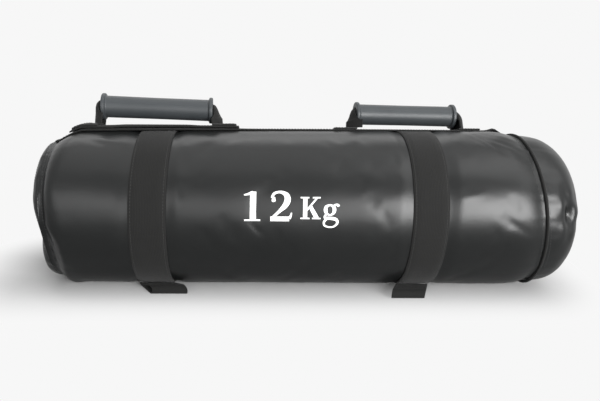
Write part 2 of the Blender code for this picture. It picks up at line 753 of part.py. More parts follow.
def slider_outline(extra):
    # The slider's cross-section: channel over the coils, web between them and plate under the tapes
    half_width = COIL_EDGE + GAP + SLIDER_WALL + extra
    right, left = channel_outline(half_width, slider_top())
    web = SLIDER_WEB / 2
    plate_top = TAPE_BACK - GAP
    plate_edge = SLIDER_PLATE_HALF_WIDTH
    under = [(-web, COIL_TOP + GAP), (-web, plate_top), (-plate_edge, plate_top)]
    under += [(-plate_edge, plate_top - SLIDER_PLATE), (plate_edge, plate_top - SLIDER_PLATE)]
    under += [(plate_edge, plate_top), (web, plate_top), (web, COIL_TOP + GAP)]
    return right + left + under


def make_zip_slider(frame):
    stops = ((-SLIDER_LENGTH / 2, 0), (0, SLIDER_NOSE_EXTRA / 2), (SLIDER_LENGTH / 2, SLIDER_NOSE_EXTRA))
    rows = []
    for along, extra in stops:
        rows.append([Vector((along, out, across)) for across, out in slider_outline(extra)])
    body = loft("zip_slider", rows, (METAL_GREY, 0.4, 1.0), ends=True, parent=frame)
    # The crown is an arch along the slider that holds the pull
    low = slider_top() - CROWN_SINK
    high = slider_top() + CROWN_HEIGHT
    outer_x = CROWN_LENGTH / 2
    inner_x = outer_x - CROWN_WALL
    arch = [(-outer_x, low), (-inner_x, low), (-inner_x, high - CROWN_WALL), (inner_x, high - CROWN_WALL)]
    arch += [(inner_x, low), (outer_x, low), (outer_x, high - CROWN_WALL), (inner_x, high)]
    arch += [(-inner_x, high), (-outer_x, high - CROWN_WALL)]
    half = CROWN_WIDTH / 2
    crown = plate("zip_slider_crown", arch, -half, half, (METAL_GREY, 0.4, 1.0), frame, "z")
    combine(body, crown, "UNION")


def make_zip_pull(frame):
    # Lies flat toward the middle of the bag; its bar runs under the crown
    lift = Matrix.Translation((0, slider_top() + PULL_BAR_LIFT, 0))
    axis = add_empty("zip_pull_swing_axis", lift, frame)
    bar_half = PULL_BAR_WIDTH / 2
    neck_end = -bar_half - PULL_EYE_LENGTH - PULL_NECK
    right = [(bar_half, PULL_EYE_HALF_WIDTH), (neck_end + PULL_NECK, PULL_EYE_HALF_WIDTH)]
    right += [(neck_end, PULL_TAB_HALF_WIDTH)]
    round_x = bar_half - PULL_LENGTH + PULL_END_ROUND
    right += arc(round_x, PULL_TAB_HALF_WIDTH - PULL_END_ROUND, PULL_END_ROUND, 90, 180, PULL_END_STEPS)
    outline = right + [(x, -across) for x, across in reversed(right)]
    half = PULL_THICKNESS / 2
    tab = plate("zip_pull", outline, -half, half, (METAL_GREY, 0.4, 1.0), axis)
    hole_half = CROWN_WIDTH / 2 + GAP
    hole = [(-bar_half, hole_half), (-bar_half, -hole_half)]
    hole += [(-bar_half - PULL_EYE_LENGTH, -hole_half), (-bar_half - PULL_EYE_LENGTH, hole_half)]
    cutter = plate("zip_pull_eye_cutter", hole, -half - OVERRUN, half + OVERRUN, (METAL_GREY, 0.4), axis)
    combine(tab, cutter, "DIFFERENCE")


# What the bag holds


def pad_start(side):
    return shoulder_stations(side)[1]


def foam_ends():
    return pad_start("left") + FOAM_END_GAP, pad_start("right") - FOAM_END_GAP


def make_foam_liner():
    start, end = foam_ends()
    stations = (start, shoulder_stations("left")[-1], shoulder_stations("right")[-1], end)

    def rows(inset, floor):
        return [[body_point(x, angle, inset, floor=floor) for angle in ROUND_ANGLES] for x in stations]

    inner = rows(FOAM_INSET + FOAM_THICKNESS, FOAM_FLOOR + FOAM_THICKNESS)
    shell("foam_liner", rows(FOAM_INSET, FOAM_FLOOR), inner, (FOAM_GREY, 0.95))


def make_foam_pad(side):
    # Fills the end cap and reaches a little way into the panel
    inset = SHEET_THICKNESS + GAP
    start = pad_start(side)
    stations = (start, shoulder_stations(side)[0], SEAM_X[side])
    rings = [[body_point(x, angle, inset) for angle in ROUND_ANGLES] for x in stations]
    rings += cap_rings(side, inset)[1:]
    base = body_point(start, 0, plain_radius(start), floor=0)
    rows = toward_right(side, [[base], *rings, [cap_point(side, 1, 0, inset)]])
    loft("foam_pad_" + side, rows, (FOAM_GREY, 0.95))


def sack_ends(side):
    # Where the sack's closed end and the mouth of its neck are
    ends = dict(zip(("left", "right"), foam_ends()))
    closed_end = ends[side] - OUTWARD[side] * SACK_END_SPACE
    return closed_end, OUTWARD[side] * NECK_MIDDLE_SPACE


def sack_radius(side):
    # As large as fits above the foam's flattened bottom where the straight part of the sack starts
    closed_end, mouth = sack_ends(side)
    x = closed_end + SACK_END_ROUND if side == "left" else mouth + NECK_LENGTH + SACK_SHOULDER
    bore = straight_radius(x) - FOAM_INSET - FOAM_THICKNESS
    room = (axis_height(x) + bore - FOAM_FLOOR - FOAM_THICKNESS) / 2
    return min(bore, room) - SACK_CLEARANCE


def sack_frame(name, side):
    # X runs from the closed end toward the neck
    height = FOAM_FLOOR + FOAM_THICKNESS + GAP + sack_radius(side)
    closed_end = sack_ends(side)[0]
    turn = Matrix.Rotation(0 if side == "left" else math.pi, 4, "Z")
    return add_empty(name, Matrix.Translation((closed_end, 0, height)) @ turn)


def sack_profile(side, inset):
    # From the pole at the closed end, along the side and over the shoulder to the mouth of the neck
    closed_end, mouth = sack_ends(side)
    length = abs(mouth - closed_end)
    radius = sack_radius(side)
    shoulder = length - NECK_LENGTH - SACK_SHOULDER
    points = [(inset, 0)]
    points += arc(SACK_END_ROUND, radius - SACK_END_ROUND, SACK_END_ROUND - inset, 180, 90, ARC_STEPS)
    points += arc(shoulder, radius - SACK_SHOULDER, SACK_SHOULDER - inset, 90, 0, ARC_STEPS)
    points += [(shoulder + SACK_SHOULDER - inset, NECK_RADIUS - inset), (length, NECK_RADIUS - inset)]
    return points


def make_sand_sack(side):
    outer = sack_profile(side, 0)
    inner = sack_profile(side, SACK_SKIN)
    frame = sack_frame("sand_sack_" + side + "_place", side)
    profile = outer + inner[::-1]
    turned("sand_sack_" + side, profile, (SACK_BLACK, 0.85), SACK_STEPS, parent=frame, closed_profile=False)


def make_sand_fill(side):
    # The fill takes the sack's form without its neck
    points = sack_profile(side, SACK_SKIN + GAP)[:-2]
    along, out = points[-1]
    profile = [*points[:-1], (along, out), (along, 0)]
    frame = sack_frame("sand_fill_" + side + "_place", side)
    turned("sand_fill_" + side, profile, (SAND_TAN, 0.95), SACK_STEPS, parent=frame, closed_profile=False)


def make_sack_tie(side):
    closed_end, mouth = sack_ends(side)
    along = abs(mouth - closed_end) - NECK_LENGTH * (1 - TIE_SEAT_SHARE)
    last_turn = 360 - 360 / TIE_SIDES
    profile = arc(along, NECK_RADIUS + GAP + TIE_RADIUS, TIE_RADIUS, 0, last_turn, TIE_SIDES - 1)
    frame = sack_frame("sack_tie_" + side + "_place", side)
    turned("sack_tie_" + side, profile, (TIE_WHITE, 0.5), SACK_STEPS, parent=frame)


def clear_scene():
    for item in list(bpy.data.objects):
        bpy.data.objects.remove(item)


def build():
    clear_scene()
    make_main_panel()
    make_top_strip()
    make_handle_base()
    for side in ("left", "right"):
        make_end_cap(side)
        make_piping(side)
        make_band(side)
        make_handle_tails(side)
        frame = handle_frame(side)
        swing_axis = add_empty("handle_" + side + "_swing_axis", frame)
        make_handle_webbing(side, frame, swing_axis)
        make_grip(side, swing_axis)
        make_loop(side)
        make_zip_stop(side)
        make_foam_pad(side)
        make_sand_sack(side)
        make_sand_fill(side)
        make_sack_tie(side)
    make_zip_tape("zip_tape_upper", 1)
    make_zip_tape("zip_tape_lower", -1)
    frame = zip_frame("zip_slider_place", slider_x())
    make_zip_slider(frame)
    make_zip_pull(frame)
    make_foam_liner()


build()
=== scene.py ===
import math

import bmesh
import bpy
from mathutils import Matrix, Vector, noise
from mathutils.bvhtree import BVHTree


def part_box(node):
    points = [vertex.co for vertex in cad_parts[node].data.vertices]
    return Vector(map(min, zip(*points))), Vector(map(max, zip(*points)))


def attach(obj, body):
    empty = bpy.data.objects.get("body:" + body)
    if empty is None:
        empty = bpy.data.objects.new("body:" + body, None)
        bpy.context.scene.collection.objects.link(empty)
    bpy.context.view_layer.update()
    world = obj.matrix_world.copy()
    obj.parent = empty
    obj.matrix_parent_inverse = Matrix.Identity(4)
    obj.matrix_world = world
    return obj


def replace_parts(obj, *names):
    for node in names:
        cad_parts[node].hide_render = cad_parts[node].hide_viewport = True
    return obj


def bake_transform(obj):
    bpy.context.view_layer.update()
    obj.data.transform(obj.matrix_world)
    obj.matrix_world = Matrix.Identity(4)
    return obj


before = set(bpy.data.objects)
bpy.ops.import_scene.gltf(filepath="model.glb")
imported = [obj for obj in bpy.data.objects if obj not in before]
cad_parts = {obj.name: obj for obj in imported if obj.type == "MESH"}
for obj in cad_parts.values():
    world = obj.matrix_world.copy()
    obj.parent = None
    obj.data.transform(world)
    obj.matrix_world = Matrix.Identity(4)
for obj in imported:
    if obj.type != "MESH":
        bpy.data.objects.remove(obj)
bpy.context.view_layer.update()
print("frame loaded")

# the bag's form, the same as in the frame: metres, and angles in degrees from the front up over the top
bag = {
    "radius": 0.0892, "taper": 0.0101, "sag": 0.004, "seamLeft": -0.2585, "seamRight": 0.276, "seamFlat": 0.005,
    "shoulderLeft": 0.032, "dropLeft": 0.0125, "shoulderRight": 0.031, "dropRight": 0.0046,
    "leanLeft": 0.05, "leanRight": 0.11, "sheet": 0.0012, "gap": 0.0003, "hangEnd": 0.030,
    "around": 108, "alongStep": 0.0049, "coarser": (0.5, 1.06, 1.06, 1.06),
}
capForm = {"left": (0.0165, 2.0, 2.2), "right": (0.053, 2.8, 3.2)}  # depth, and the powers of the outline
capGrid = {"around": 144, "rings": 28, "crowding": 1.6, "lifted": 0.3, "upright": 0.6, "floorFade": 0.012}
webbing = {"width": 0.038, "thick": 0.0018, "bandX": (-0.1475, 0.1475), "waistFade": 0.010, "edge": 0.0012,
           "rounded": 0.0007, "step": 0.004}
strip = {"angle": 112.0, "twist": 11.0, "over": 0.295, "start": -0.2563, "end": 0.2738,
         "hump": (0.0040, 0.2600, 0.0080), "follows": 0.3}
piping = {"radius": 0.0018, "gap": 0.0004, "fade": 0.020, "sides": 12, "left": (0.0011, -0.0010),
          "right": (0.0017, 0.0005), "loose": (0.0014, -60, 15)}
# hills round the bag, each with its height, angle and width
leftShoulder = ((3.0, 30, 28), (4.0, -80, 34), (-0.85, 104, 26))
leftHang, leftBulge = (0.006, -76, 34), (0.0065, -60, 24)
layer = bag["gap"] + webbing["thick"]
seamLift = 2 * piping["radius"] + piping["gap"]
outward = {"left": -1, "right": 1}
seamX = {"left": bag["seamLeft"], "right": bag["seamRight"]}
bandX = dict(zip(("left", "right"), webbing["bandX"]))


def within(value, low, high):
    return max(low, min(high, value))


def eased(share):
    share = within(share, 0, 1)
    return share * share * (3 - 2 * share)


def bump(value, centre, width):  # a soft hill of height one
    return math.exp(-(((value - centre) / width) ** 2))


def turnBetween(angle, other):  # degrees from one angle to another, the short way
    return (angle - other + 180) % 360 - 180


def hill(angle, height, middle, width):  # a bump round the bag
    return height * bump(turnBetween(angle, middle), 0, width)


def straightRadius(x):
    return bag["radius"] + bag["taper"] * x


def axisHeight(x):
    return straightRadius(x) - bag["sag"]


def plainRadius(x, angle=0.0):
    # the left shoulder turns over late at the front and falls in a straight slope at the top
    leftStart, rightStart = bag["seamLeft"] + bag["shoulderLeft"], bag["seamRight"] - bag["shoulderRight"]
    fromLeft = within((leftStart - x) / (bag["shoulderLeft"] - bag["seamFlat"]), 0, 1)
    fromRight = within((x - rightStart) / (bag["shoulderRight"] - bag["seamFlat"]), 0, 1)
    power = 2
    for later in leftShoulder:
        power += hill(angle, *later)
    return straightRadius(x) - bag["dropLeft"] * fromLeft**power - bag["dropRight"] * fromRight**2


def waistShare(x):
    nearest = min(abs(x - middle) for middle in webbing["bandX"])
    return 1 - within((nearest - webbing["width"] / 2 - bag["gap"]) / webbing["waistFade"], 0, 1)


def fromSeam(x):
    return min(abs(x - seam) for seam in seamX.values())


def seamShare(x):
    return 1 - within((fromSeam(x) - bag["seamFlat"]) / piping["fade"], 0, 1)


def leanShare(x):
    start = webbing["bandX"][1] + webbing["width"] / 2 + bag["gap"] + webbing["waistFade"]
    side = "left" if x < 0 else "right"
    most = bag["leanLeft"] if x < 0 else bag["leanRight"]
    return most * eased((abs(x) - start) / (abs(seamX[side]) - start))


def leftSag(x, angle):  # the slack end's underside hangs down toward the floor
    return hill(angle, *leftHang) * (1 - eased((x - bag["seamLeft"]) / bag["hangEnd"]))


def outAt(angle):  # straight away from the bag's axis
    turn = math.radians(angle)
    return Vector((0, -math.cos(turn), math.sin(turn)))


def around(x, radius, angle, floor, lean):
    turn = math.radians(angle)
    z = max(axisHeight(x) + radius * math.sin(turn), floor)
    return Vector((x - lean * (z - axisHeight(x)), -radius * math.cos(turn), z))


def bodyPoint(x, angle, inset, waist=0.0, floor=None):
    if floor is None:
        floor = inset + waist * waistShare(x) + seamLift * seamShare(x)
    radius = plainRadius(x, angle) - inset - waist * waistShare(x)
    point = around(x, radius, angle, floor, leanShare(x))
    point.z = max(point.z - leftSag(x, angle), floor)
    return point


def capPoint(side, share, angle):
    depth, rimPower, endPower = capForm[side]
    radius = plainRadius(seamX[side]) * (1 - share**rimPower) ** (1 / endPower)
    floor = seamLift * max(0, 1 - share / capGrid["lifted"])
    lean = leanShare(seamX[side]) * (1 - capGrid["upright"] * share)
    point = around(seamX[side], radius, angle, floor, lean)
    point.x += outward[side] * (bag["gap"] + depth * share)
    if side == "left":
        point.z = max(point.z - leftSag(bag["seamLeft"], angle) * (1 - share**2), floor)
        point.x -= hill(angle, *leftBulge) * eased(share * 3) * (1 - share)
    return point


def stripAngle(x):
    return strip["angle"] + strip["twist"] * x / strip["over"]


def stripHalf(x):
    return math.degrees(webbing["width"] / 2 / straightRadius(x))


def spread(start, end, count):
    return [start + (end - start) * step / count for step in range(count + 1)]


def ringAngles(steps):
    return [step * 360 / steps for step in range(steps)]


def flat(rows):
    return [item for row in rows for item in row]


def travelled(points):  # how far along its row each point lies
    far = [0.0]
    for before, after in zip(points, points[1:]):
        far.append(far[-1] + (after - before).length)
    return far


# shader nodes from plain sums: a Socket wraps a node's output and the operators add Math nodes
class Socket:
    def __init__(self, tree, out):
        self.tree, self.out = tree, out

    def math(self, operation, other=None, swapped=False):
        pair = [self] if other is None else ([other, self] if swapped else [self, other])
        return self.tree.node("ShaderNodeMath", {"operation": operation}, dict(enumerate(pair)))

    def __add__(self, other):
        return self.math("ADD", other)

    def __sub__(self, other):
        return self.math("SUBTRACT", other)

    def __rsub__(self, other):
        return self.math("SUBTRACT", other, True)

    def __mul__(self, other):
        return self.math("MULTIPLY", other)

    __radd__, __rmul__ = __add__, __mul__


class Finish:
    # one material with its tree; node() adds any node from its settings and the values or links of its inputs
    def __init__(self, name):
        self.material = bpy.data.materials.new(name)
        self.material.use_nodes = True
        self.nodes, self.links = self.material.node_tree.nodes, self.material.node_tree.links
        self.shader = self.nodes["Principled BSDF"]

    def node(self, kind, settings=None, inputs=None, output=0):
        made = self.nodes.new(kind)
        for key, value in (settings or {}).items():
            setattr(made, key, value)
        for key, value in (inputs or {}).items():
            self.feed(made.inputs[key], value)
        return Socket(self, made.outputs[output])

    def feed(self, socket, value):
        if isinstance(value, Socket):
            self.links.new(value.out, socket)
        elif isinstance(value, (tuple, list)) and len(value) == 3 and socket.type == "RGBA":
            socket.default_value = (*value, 1)
        else:
            socket.default_value = value

    def set(self, **inputs):
        for key, value in inputs.items():
            self.feed(self.shader.inputs[key.replace("_", " ")], value)

    def objectCoords(self):
        return self.node("ShaderNodeTexCoord", output="Object")

    def uv(self, name):
        split = self.node("ShaderNodeUVMap", {"uv_map": name})
        u = self.node("ShaderNodeSeparateXYZ", None, {0: split}, "X")
        return u, self.node("ShaderNodeSeparateXYZ", None, {0: split}, "Y")

    def noise(self, where, scale, detail=3.0, rough=0.5):
        return self.node("ShaderNodeTexNoise", None,
                         {"Vector": where, "Scale": scale, "Detail": detail, "Roughness": rough}, "Fac")

    def mix(self, share, first, second):
        return self.node("ShaderNodeMix", {"data_type": "RGBA"}, {0: share, 6: first, 7: second}, 2)

    def relief(self, height, distance, strength=1.0, under=None):
        inputs = {"Height": height, "Distance": distance, "Strength": strength}
        if under is not None:
            inputs["Normal"] = under
        return self.node("ShaderNodeBump", None, inputs)


# finishes
sheetLook = {"dark": (0.0040, 0.0044, 0.0045), "light": (0.0072, 0.0077, 0.0076), "rough": 0.31, "grain": 900.0}
webbingLook = {"dark": (0.0048, 0.0048, 0.0047), "light": (0.0168, 0.0168, 0.0162), "ribs": 0.0016, "rows": 0.0011,
               "slant": 0.0019}
gripLook = {"colour": (0.027, 0.030, 0.0325), "worn": (0.037, 0.0415, 0.0445), "rough": 0.43}


def coatedSheet():
    f = Finish("coatedSheet")
    where = f.objectCoords()
    broad = f.noise(where, 14.0, 2.0)
    fine = f.noise(where, 260.0, 4.0, 0.6)
    cells = f.node("ShaderNodeTexVoronoi", {"feature": "DISTANCE_TO_EDGE"},
                   {"Vector": where, "Scale": sheetLook["grain"]}, "Distance")
    f.set(Base_Color=f.mix(broad * 0.6 + fine * 0.4, sheetLook["dark"], sheetLook["light"]),
          Roughness=broad * 0.10 + fine * 0.08 + (sheetLook["rough"] - 0.09), Specular_IOR_Level=0.30,
          Normal=f.relief(cells, 0.00012, 0.35, f.relief(fine, 0.0003, 0.12)))
    return f.material


def wovenWebbing():
    # u runs along the webbing in metres and v across it: a herringbone of ribs and weft rows
    f = Finish("wovenWebbing")
    u, v = f.uv("weave")
    ribs = (v * (2 * math.pi / webbingLook["ribs"])).math("SINE")
    slant = v.math("PINGPONG", webbingLook["slant"])
    rows = ((u + slant * 0.9) * (2 * math.pi / webbingLook["rows"])).math("SINE")
    weave, where = ribs * 0.5 + rows * 0.5, f.objectCoords()
    fuzz, wear = f.noise(where, 1500.0, 3.0, 0.7), f.noise(where, 30.0, 3.0)
    share = weave * 0.22 + fuzz * 0.35 + wear * 0.25 + 0.08
    f.set(Base_Color=f.mix(share, webbingLook["dark"], webbingLook["light"]), Roughness=fuzz * 0.12 + 0.80,
          Specular_IOR_Level=0.16, Sheen_Weight=0.05, Sheen_Roughness=0.5,
          Normal=f.relief(weave, 0.00016, 0.5, f.relief(fuzz, 0.0001, 0.3)))
    return f.material


def mouldedPlastic():
    f = Finish("mouldedPlastic")
    where = f.objectCoords()
    fine, scuff = f.noise(where, 900.0, 3.0, 0.6), f.noise(where, 45.0, 5.0, 0.65)
    f.set(Base_Color=f.mix(scuff, gripLook["colour"], gripLook["worn"]), Specular_IOR_Level=0.32,
          Roughness=scuff * 0.14 + fine * 0.06 + (gripLook["rough"] - 0.1), Normal=f.relief(fine, 0.0001, 0.25))
    return f.material


def speckled(name, dark, light, scale, detail=5.0, uneven=0.75, rough=0.85, varied=0.1, depth=None, metallic=0.0):
    # colour and roughness follow one noise, and so does the relief where a depth is given
    f = Finish(name)
    grain = f.noise(f.objectCoords(), scale, detail, uneven)
    f.set(Base_Color=f.mix(grain, dark, light), Roughness=grain * varied + rough, Metallic=metallic)
    if depth:
        f.set(Normal=f.relief(grain, depth, 0.6))
    return f.material


sheetFinish, webFinish, gripFinish = coatedSheet(), wovenWebbing(), mouldedPlastic()
threadFinish = speckled("thread", (0.018, 0.018, 0.018), (0.045, 0.045, 0.044), 2600.0, 2.0, 0.5, 0.55, 0.2)
inkFinish = speckled("printInk", (0.72, 0.72, 0.71), (0.79, 0.79, 0.78), 240.0, 4.0, 0.7, 0.4, 0.2)
zipMetal = speckled("lacqueredMetal", (0.16, 0.16, 0.17), (0.34, 0.34, 0.35), 500.0, 4.0, 0.7, 0.28, 0.2, None, 0.9)
foamFinish = speckled("openFoam", (0.36, 0.37, 0.39), (0.62, 0.63, 0.65), 700.0, depth=0.0005)
sackFinish = speckled("sackCloth", (0.03, 0.03, 0.034), (0.075, 0.075, 0.08), 1100.0, depth=0.0005)
sandFinish = speckled("sandGrains", (0.30, 0.23, 0.14), (0.62, 0.51, 0.36), 1400.0, depth=0.0005)
tieFinish = speckled("tiePlastic", (0.66, 0.66, 0.63), (0.80, 0.80, 0.77), 200.0, rough=0.4, depth=0.0001)
coilFinish = speckled("coilPlastic", (0.014, 0.014, 0.014), (0.030, 0.030, 0.030), 1600.0, rough=0.4, depth=0.00005)
print("finishes made")


def addObject(name, data):
    made = bpy.data.objects.new(name, data)
    bpy.context.scene.collection.objects.link(made)
    return made


# meshes from rows of points, with a weave map in metres where one is given
def newPiece(name, vertices, faces, finish, uvs=None, smooth=True):
    mesh = bpy.data.meshes.new(name)
    mesh.from_pydata([tuple(v) for v in vertices], [], faces)
    if uvs is not None:
        mapped = mesh.uv_layers.new(name="weave")
        for loop in mesh.loops:
            mapped.data[loop.index].uv = uvs[loop.vertex_index]
    mesh.materials.append(finish)
    mesh.validate()
    if smooth:
        mesh.shade_smooth()
    return addObject(name, mesh)


def faceOutwards(piece, merge=0.0, sharp=None):
    shape = bmesh.new()
    shape.from_mesh(piece.data)
    if merge:
        bmesh.ops.remove_doubles(shape, verts=shape.verts, dist=merge)
    bmesh.ops.recalc_face_normals(shape, faces=shape.faces)
    shape.to_mesh(piece.data)
    shape.free()
    if sharp:
        piece.data.set_sharp_from_angle(angle=math.radians(sharp))
    return piece


def gridFaces(rows, across, closedAcross, closedAlong=False, base=0):
    faces = []
    for row in range(rows if closedAlong else rows - 1):
        for cell in range(across if closedAcross else across - 1):
            a, b = row * across, (row + 1) % rows * across
            c = (cell + 1) % across
            faces.append((base + a + cell, base + a + c, base + b + c, base + b + cell))
    return faces


def slab(name, outer, inner, finish, uvRows, closedAcross=False):
    # a sheet with thickness from two grids, with walls round its open edges
    rows, across = len(outer), len(outer[0])
    count, last = rows * across, (rows - 1) * across
    faces = gridFaces(rows, across, closedAcross)
    faces += [tuple(reversed(f)) for f in gridFaces(rows, across, closedAcross, base=count)]
    for cell in range(across if closedAcross else across - 1):
        following = (cell + 1) % across
        faces.append((cell, count + cell, count + following, following))
        faces.append((last + following, count + last + following, count + last + cell, last + cell))
    if not closedAcross:
        for row in range(rows - 1):
            a, b = row * across, (row + 1) * across
            faces.append((a, b, count + b, count + a))
            a, b = a + across - 1, b + across - 1
            faces.append((b, a, count + a, count + b))
    return faceOutwards(newPiece(name, flat(outer) + flat(inner), faces, finish, flat(uvRows) * 2), sharp=50)


def fan(start, steps, tip):  # closes a ring of points with one more point
    return [(start + cell, start + (cell + 1) % steps, tip) for cell in range(steps)]


# how the sheet lies slack: ripples, gathers along the seams, and a fold at the left end
slack = {"ripple": 0.0005, "gather": 0.0007, "gatherEnd": 0.06, "gatherFade": 0.014, "leftFold": (0.0046, -14, 18),
         "foldEnd": 0.024, "lowest": -0.008, "highest": 0.0012}
# x and angle at both ends of each crease, its height and its width
creases = (
    (0.2134, 86, 0.2409, 59, -0.0012, 0.0040), (0.2234, 80, 0.2610, 64, -0.0010, 0.0034),
    (0.2060, 82, 0.2230, 66, -0.0007, 0.0030), (0.2380, 84, 0.2660, 76, 0.0007, 0.0040),
    (-0.0430, 10, -0.0296, 0, -0.0010, 0.0026), (-0.0500, 84, -0.0400, 76, -0.0007, 0.0030),
    (-0.2330, 84, -0.1950, 66, -0.0006, 0.0050), (-0.2200, 76, -0.1750, 70, 0.0005, 0.0040),
    (-0.2500, 8, -0.2360, -8, 0.0011, 0.0040), (-0.2360, -8, -0.2380, -25, 0.0012, 0.0040),
    (-0.2380, -25, -0.2450, -49, 0.0010, 0.0036), (-0.2540, 2, -0.2470, -14, -0.0012, 0.0028),
    (0.1720, 24, 0.2050, 30, 0.0005, 0.0050), (0.2260, 12, 0.2560, 2, -0.0006, 0.0042),
)


def webbingMask(x, angle):
    # one where the sheet is free and nought under webbing that is sewn to it
    overStrip = abs(turnBetween(angle, stripAngle(x))) - stripHalf(x)
    return eased(overStrip / 6.0) * (1 - waistShare(x)) ** 2


def creaseHeight(x, angle):
    height = 0.0
    for x0, a0, x1, a1, depth, width in creases:
        if min(x0, x1) - 0.015 < x < max(x0, x1) + 0.015:
            # in metres on the unrolled sheet
            reach = Vector((x1 - x0, math.radians(a1 - a0) * bag["radius"]))
            away = Vector((x - x0, math.radians(turnBetween(angle, a0)) * bag["radius"]))
            share = within(away.dot(reach) / reach.length_squared, 0, 1)
            height += depth * bump((away - reach * share).length, 0, width) * (0.35 + 0.65 * math.sin(math.pi * share))
    return height


def fineSlack(x, angle):
    height = creaseHeight(x, angle)
    for seam in seamX.values():
        away = abs(x - seam)
        if away < slack["gatherEnd"]:
            gathers = noise.noise(Vector((angle / 4.0, seam * 40, away * 18)))
            height += slack["gather"] * gathers * math.exp(-away / slack["gatherFade"])
    return height * webbingMask(x, angle)


def slackHeight(x, angle):
    where = Vector((x * 9, math.cos(math.radians(angle)) * 1.1, math.sin(math.radians(angle)) * 1.1))
    height = slack["ripple"] * (noise.fractal(where, 0.6, 2.1, 3) - 0.1)
    # the slack left shoulder falls in below its middle
    height -= hill(angle, *slack["leftFold"]) * (1 - eased((x - seamX["left"]) / slack["foldEnd"]))
    return within(height, slack["lowest"], slack["highest"]) * webbingMask(x, angle)


def sheetPoint(x, angle):
    point = bodyPoint(x, angle, -slackHeight(x, angle), layer)
    point.z = max(point.z, 0.0)
    return point


# the right cap's pinch with gathers that run out from it like rays, and the left cap's fold and dent
pinch = {"depth": 0.009, "width": 0.0088, "share": 0.53, "angle": 15, "perShare": 0.075, "perTurn": 0.062,
         "rays": 5, "rayTurn": 0.9, "rayHeight": 0.0008, "rayAt": 0.018, "rayWidth": 0.007}
leftCap = {"fold": (-0.0030, -14, 18), "foldAt": 0.2, "foldWidth": 0.3, "dent": (0.0065, -8, 19)}


def capSlack(side, share, angle):
    # height of the cap over its plain form, and how far it is pushed back toward the bag's middle
    if side == "right":
        gathers = 0.0008 * noise.noise(Vector((angle / 6.0, 3.0, share * 2))) * (1 - share) ** 2
        folds = 0.0012 * noise.noise(Vector((angle / 16, 9.0, share * 3))) * eased(share * 2) * (1 - share)
        u = (share - pinch["share"]) * pinch["perShare"]
        v = math.radians(turnBetween(angle, pinch["angle"])) * pinch["perTurn"]
        away, heading = math.hypot(u, v), math.atan2(v, u)
        rays = pinch["rayHeight"] * math.sin(heading * pinch["rays"] + pinch["rayTurn"])
        rays *= bump(away, pinch["rayAt"], pinch["rayWidth"])
        return gathers + folds + rays - pinch["depth"] * bump(away, 0, pinch["width"]), 0.0
    gathers = 0.0009 * noise.noise(Vector((angle / 7.5, 7.0, share * 2))) * (1 - share)
    fold = hill(angle, *leftCap["fold"]) * bump(share, leftCap["foldAt"], leftCap["foldWidth"])
    return gathers + fold, hill(angle, *leftCap["dent"]) * eased(share * 2)


def capSheetPoint(side, share, angle):
    point = capPoint(side, share, angle)
    centre = Vector((seamX[side], 0, axisHeight(seamX[side])))
    seam = slackHeight(seamX[side], angle) + fineSlack(seamX[side], angle)
    height, back = capSlack(side, share, angle)
    out = (point - centre) * Vector((0.6, 1, 1))
    point += out.normalized() * (height * eased(share * 8) + seam * (1 - share) ** 3)
    point.x -= outward[side] * back
    point.z = max(point.z, 0.0)
    return point


cloth = {
    "frames": 20, "least": 0.001, "floor": 0.0006,
    "panel": {"grow": 0.010, "most": (0.0018, 0.0013)}, "right": {"grow": 0.020, "most": (0.0030, 0.0020)},
    "left": {"grow": 0.045, "most": (0.0045, 0.0024)},
    "settings": {
        "vertex_group_mass": "held", "pin_stiffness": 30.0, "quality": 6, "mass": 0.35, "tension_stiffness": 18.0,
        "compression_stiffness": 18.0, "bending_stiffness": 1.2, "vertex_group_shrink": "spare",
        "use_pressure": True, "uniform_pressure_force": 2.5},
}


def settle(piece, holding, spare, grow, most):
    # a short cloth run: the skin wants to be a little larger than its frame lets it, so it buckles and drapes;
    # most caps how far a point may move, inward and outward
    rest = [v.co.copy() for v in piece.data.vertices]
    for name, weights in (("held", holding), ("spare", spare)):
        group = piece.vertex_groups.new(name=name)
        for index, weight in enumerate(weights):
            group.add([index], weight, "REPLACE")
    run = piece.modifiers.new("cloth", "CLOTH")
    for key, value in cloth["settings"].items():
        setattr(run.settings, key, value)
    run.settings.shrink_min, run.settings.shrink_max = -cloth["least"], -grow
    run.settings.effector_weights.gravity = 0.0
    run.collision_settings.use_collision = False
    run.point_cache.frame_start, run.point_cache.frame_end = 1, cloth["frames"]
    for step in range(1, cloth["frames"] + 1):
        bpy.context.scene.frame_set(step)
    evaluated = piece.evaluated_get(bpy.context.evaluated_depsgraph_get())
    places = [v.co.copy() for v in evaluated.to_mesh().vertices]
    evaluated.to_mesh_clear()
    piece.modifiers.clear()
    piece.vertex_groups.clear()
    bpy.context.scene.frame_set(1)
    for vertex, before, after, weight in zip(piece.data.vertices, rest, places, holding):
        shift = after - before
        limit = most[shift.dot(vertex.normal) > 0]
        if shift.length > limit:
            shift *= limit / shift.length
        vertex.co = before + shift * (1 - weight)
        vertex.co.z = max(vertex.co.z, 0.0)


def aimOutwards(piece, index, direction):
    # the whole skin turns round if this face looks the wrong way
    faceOutwards(piece)
    if piece.data.polygons[index].normal.dot(direction) < 0:
        piece.data.flip_normals()


def thicken(piece, thickness, detail=None):
    fine = piece.modifiers.new("fine", "SUBSURF")
    fine.levels = fine.render_levels = 1
    bake(piece)
    if detail:
        normals = [vertex.normal.copy() for vertex in piece.data.vertices]
        for vertex, normal in zip(piece.data.vertices, normals):
            moved = vertex.co + normal * detail(vertex.co)
            vertex.co = (moved.x, moved.y, max(moved.z, 0.0))
    solid = piece.modifiers.new("sheet", "SOLIDIFY")
    solid.thickness, solid.offset = thickness, -1
    return bake(piece)


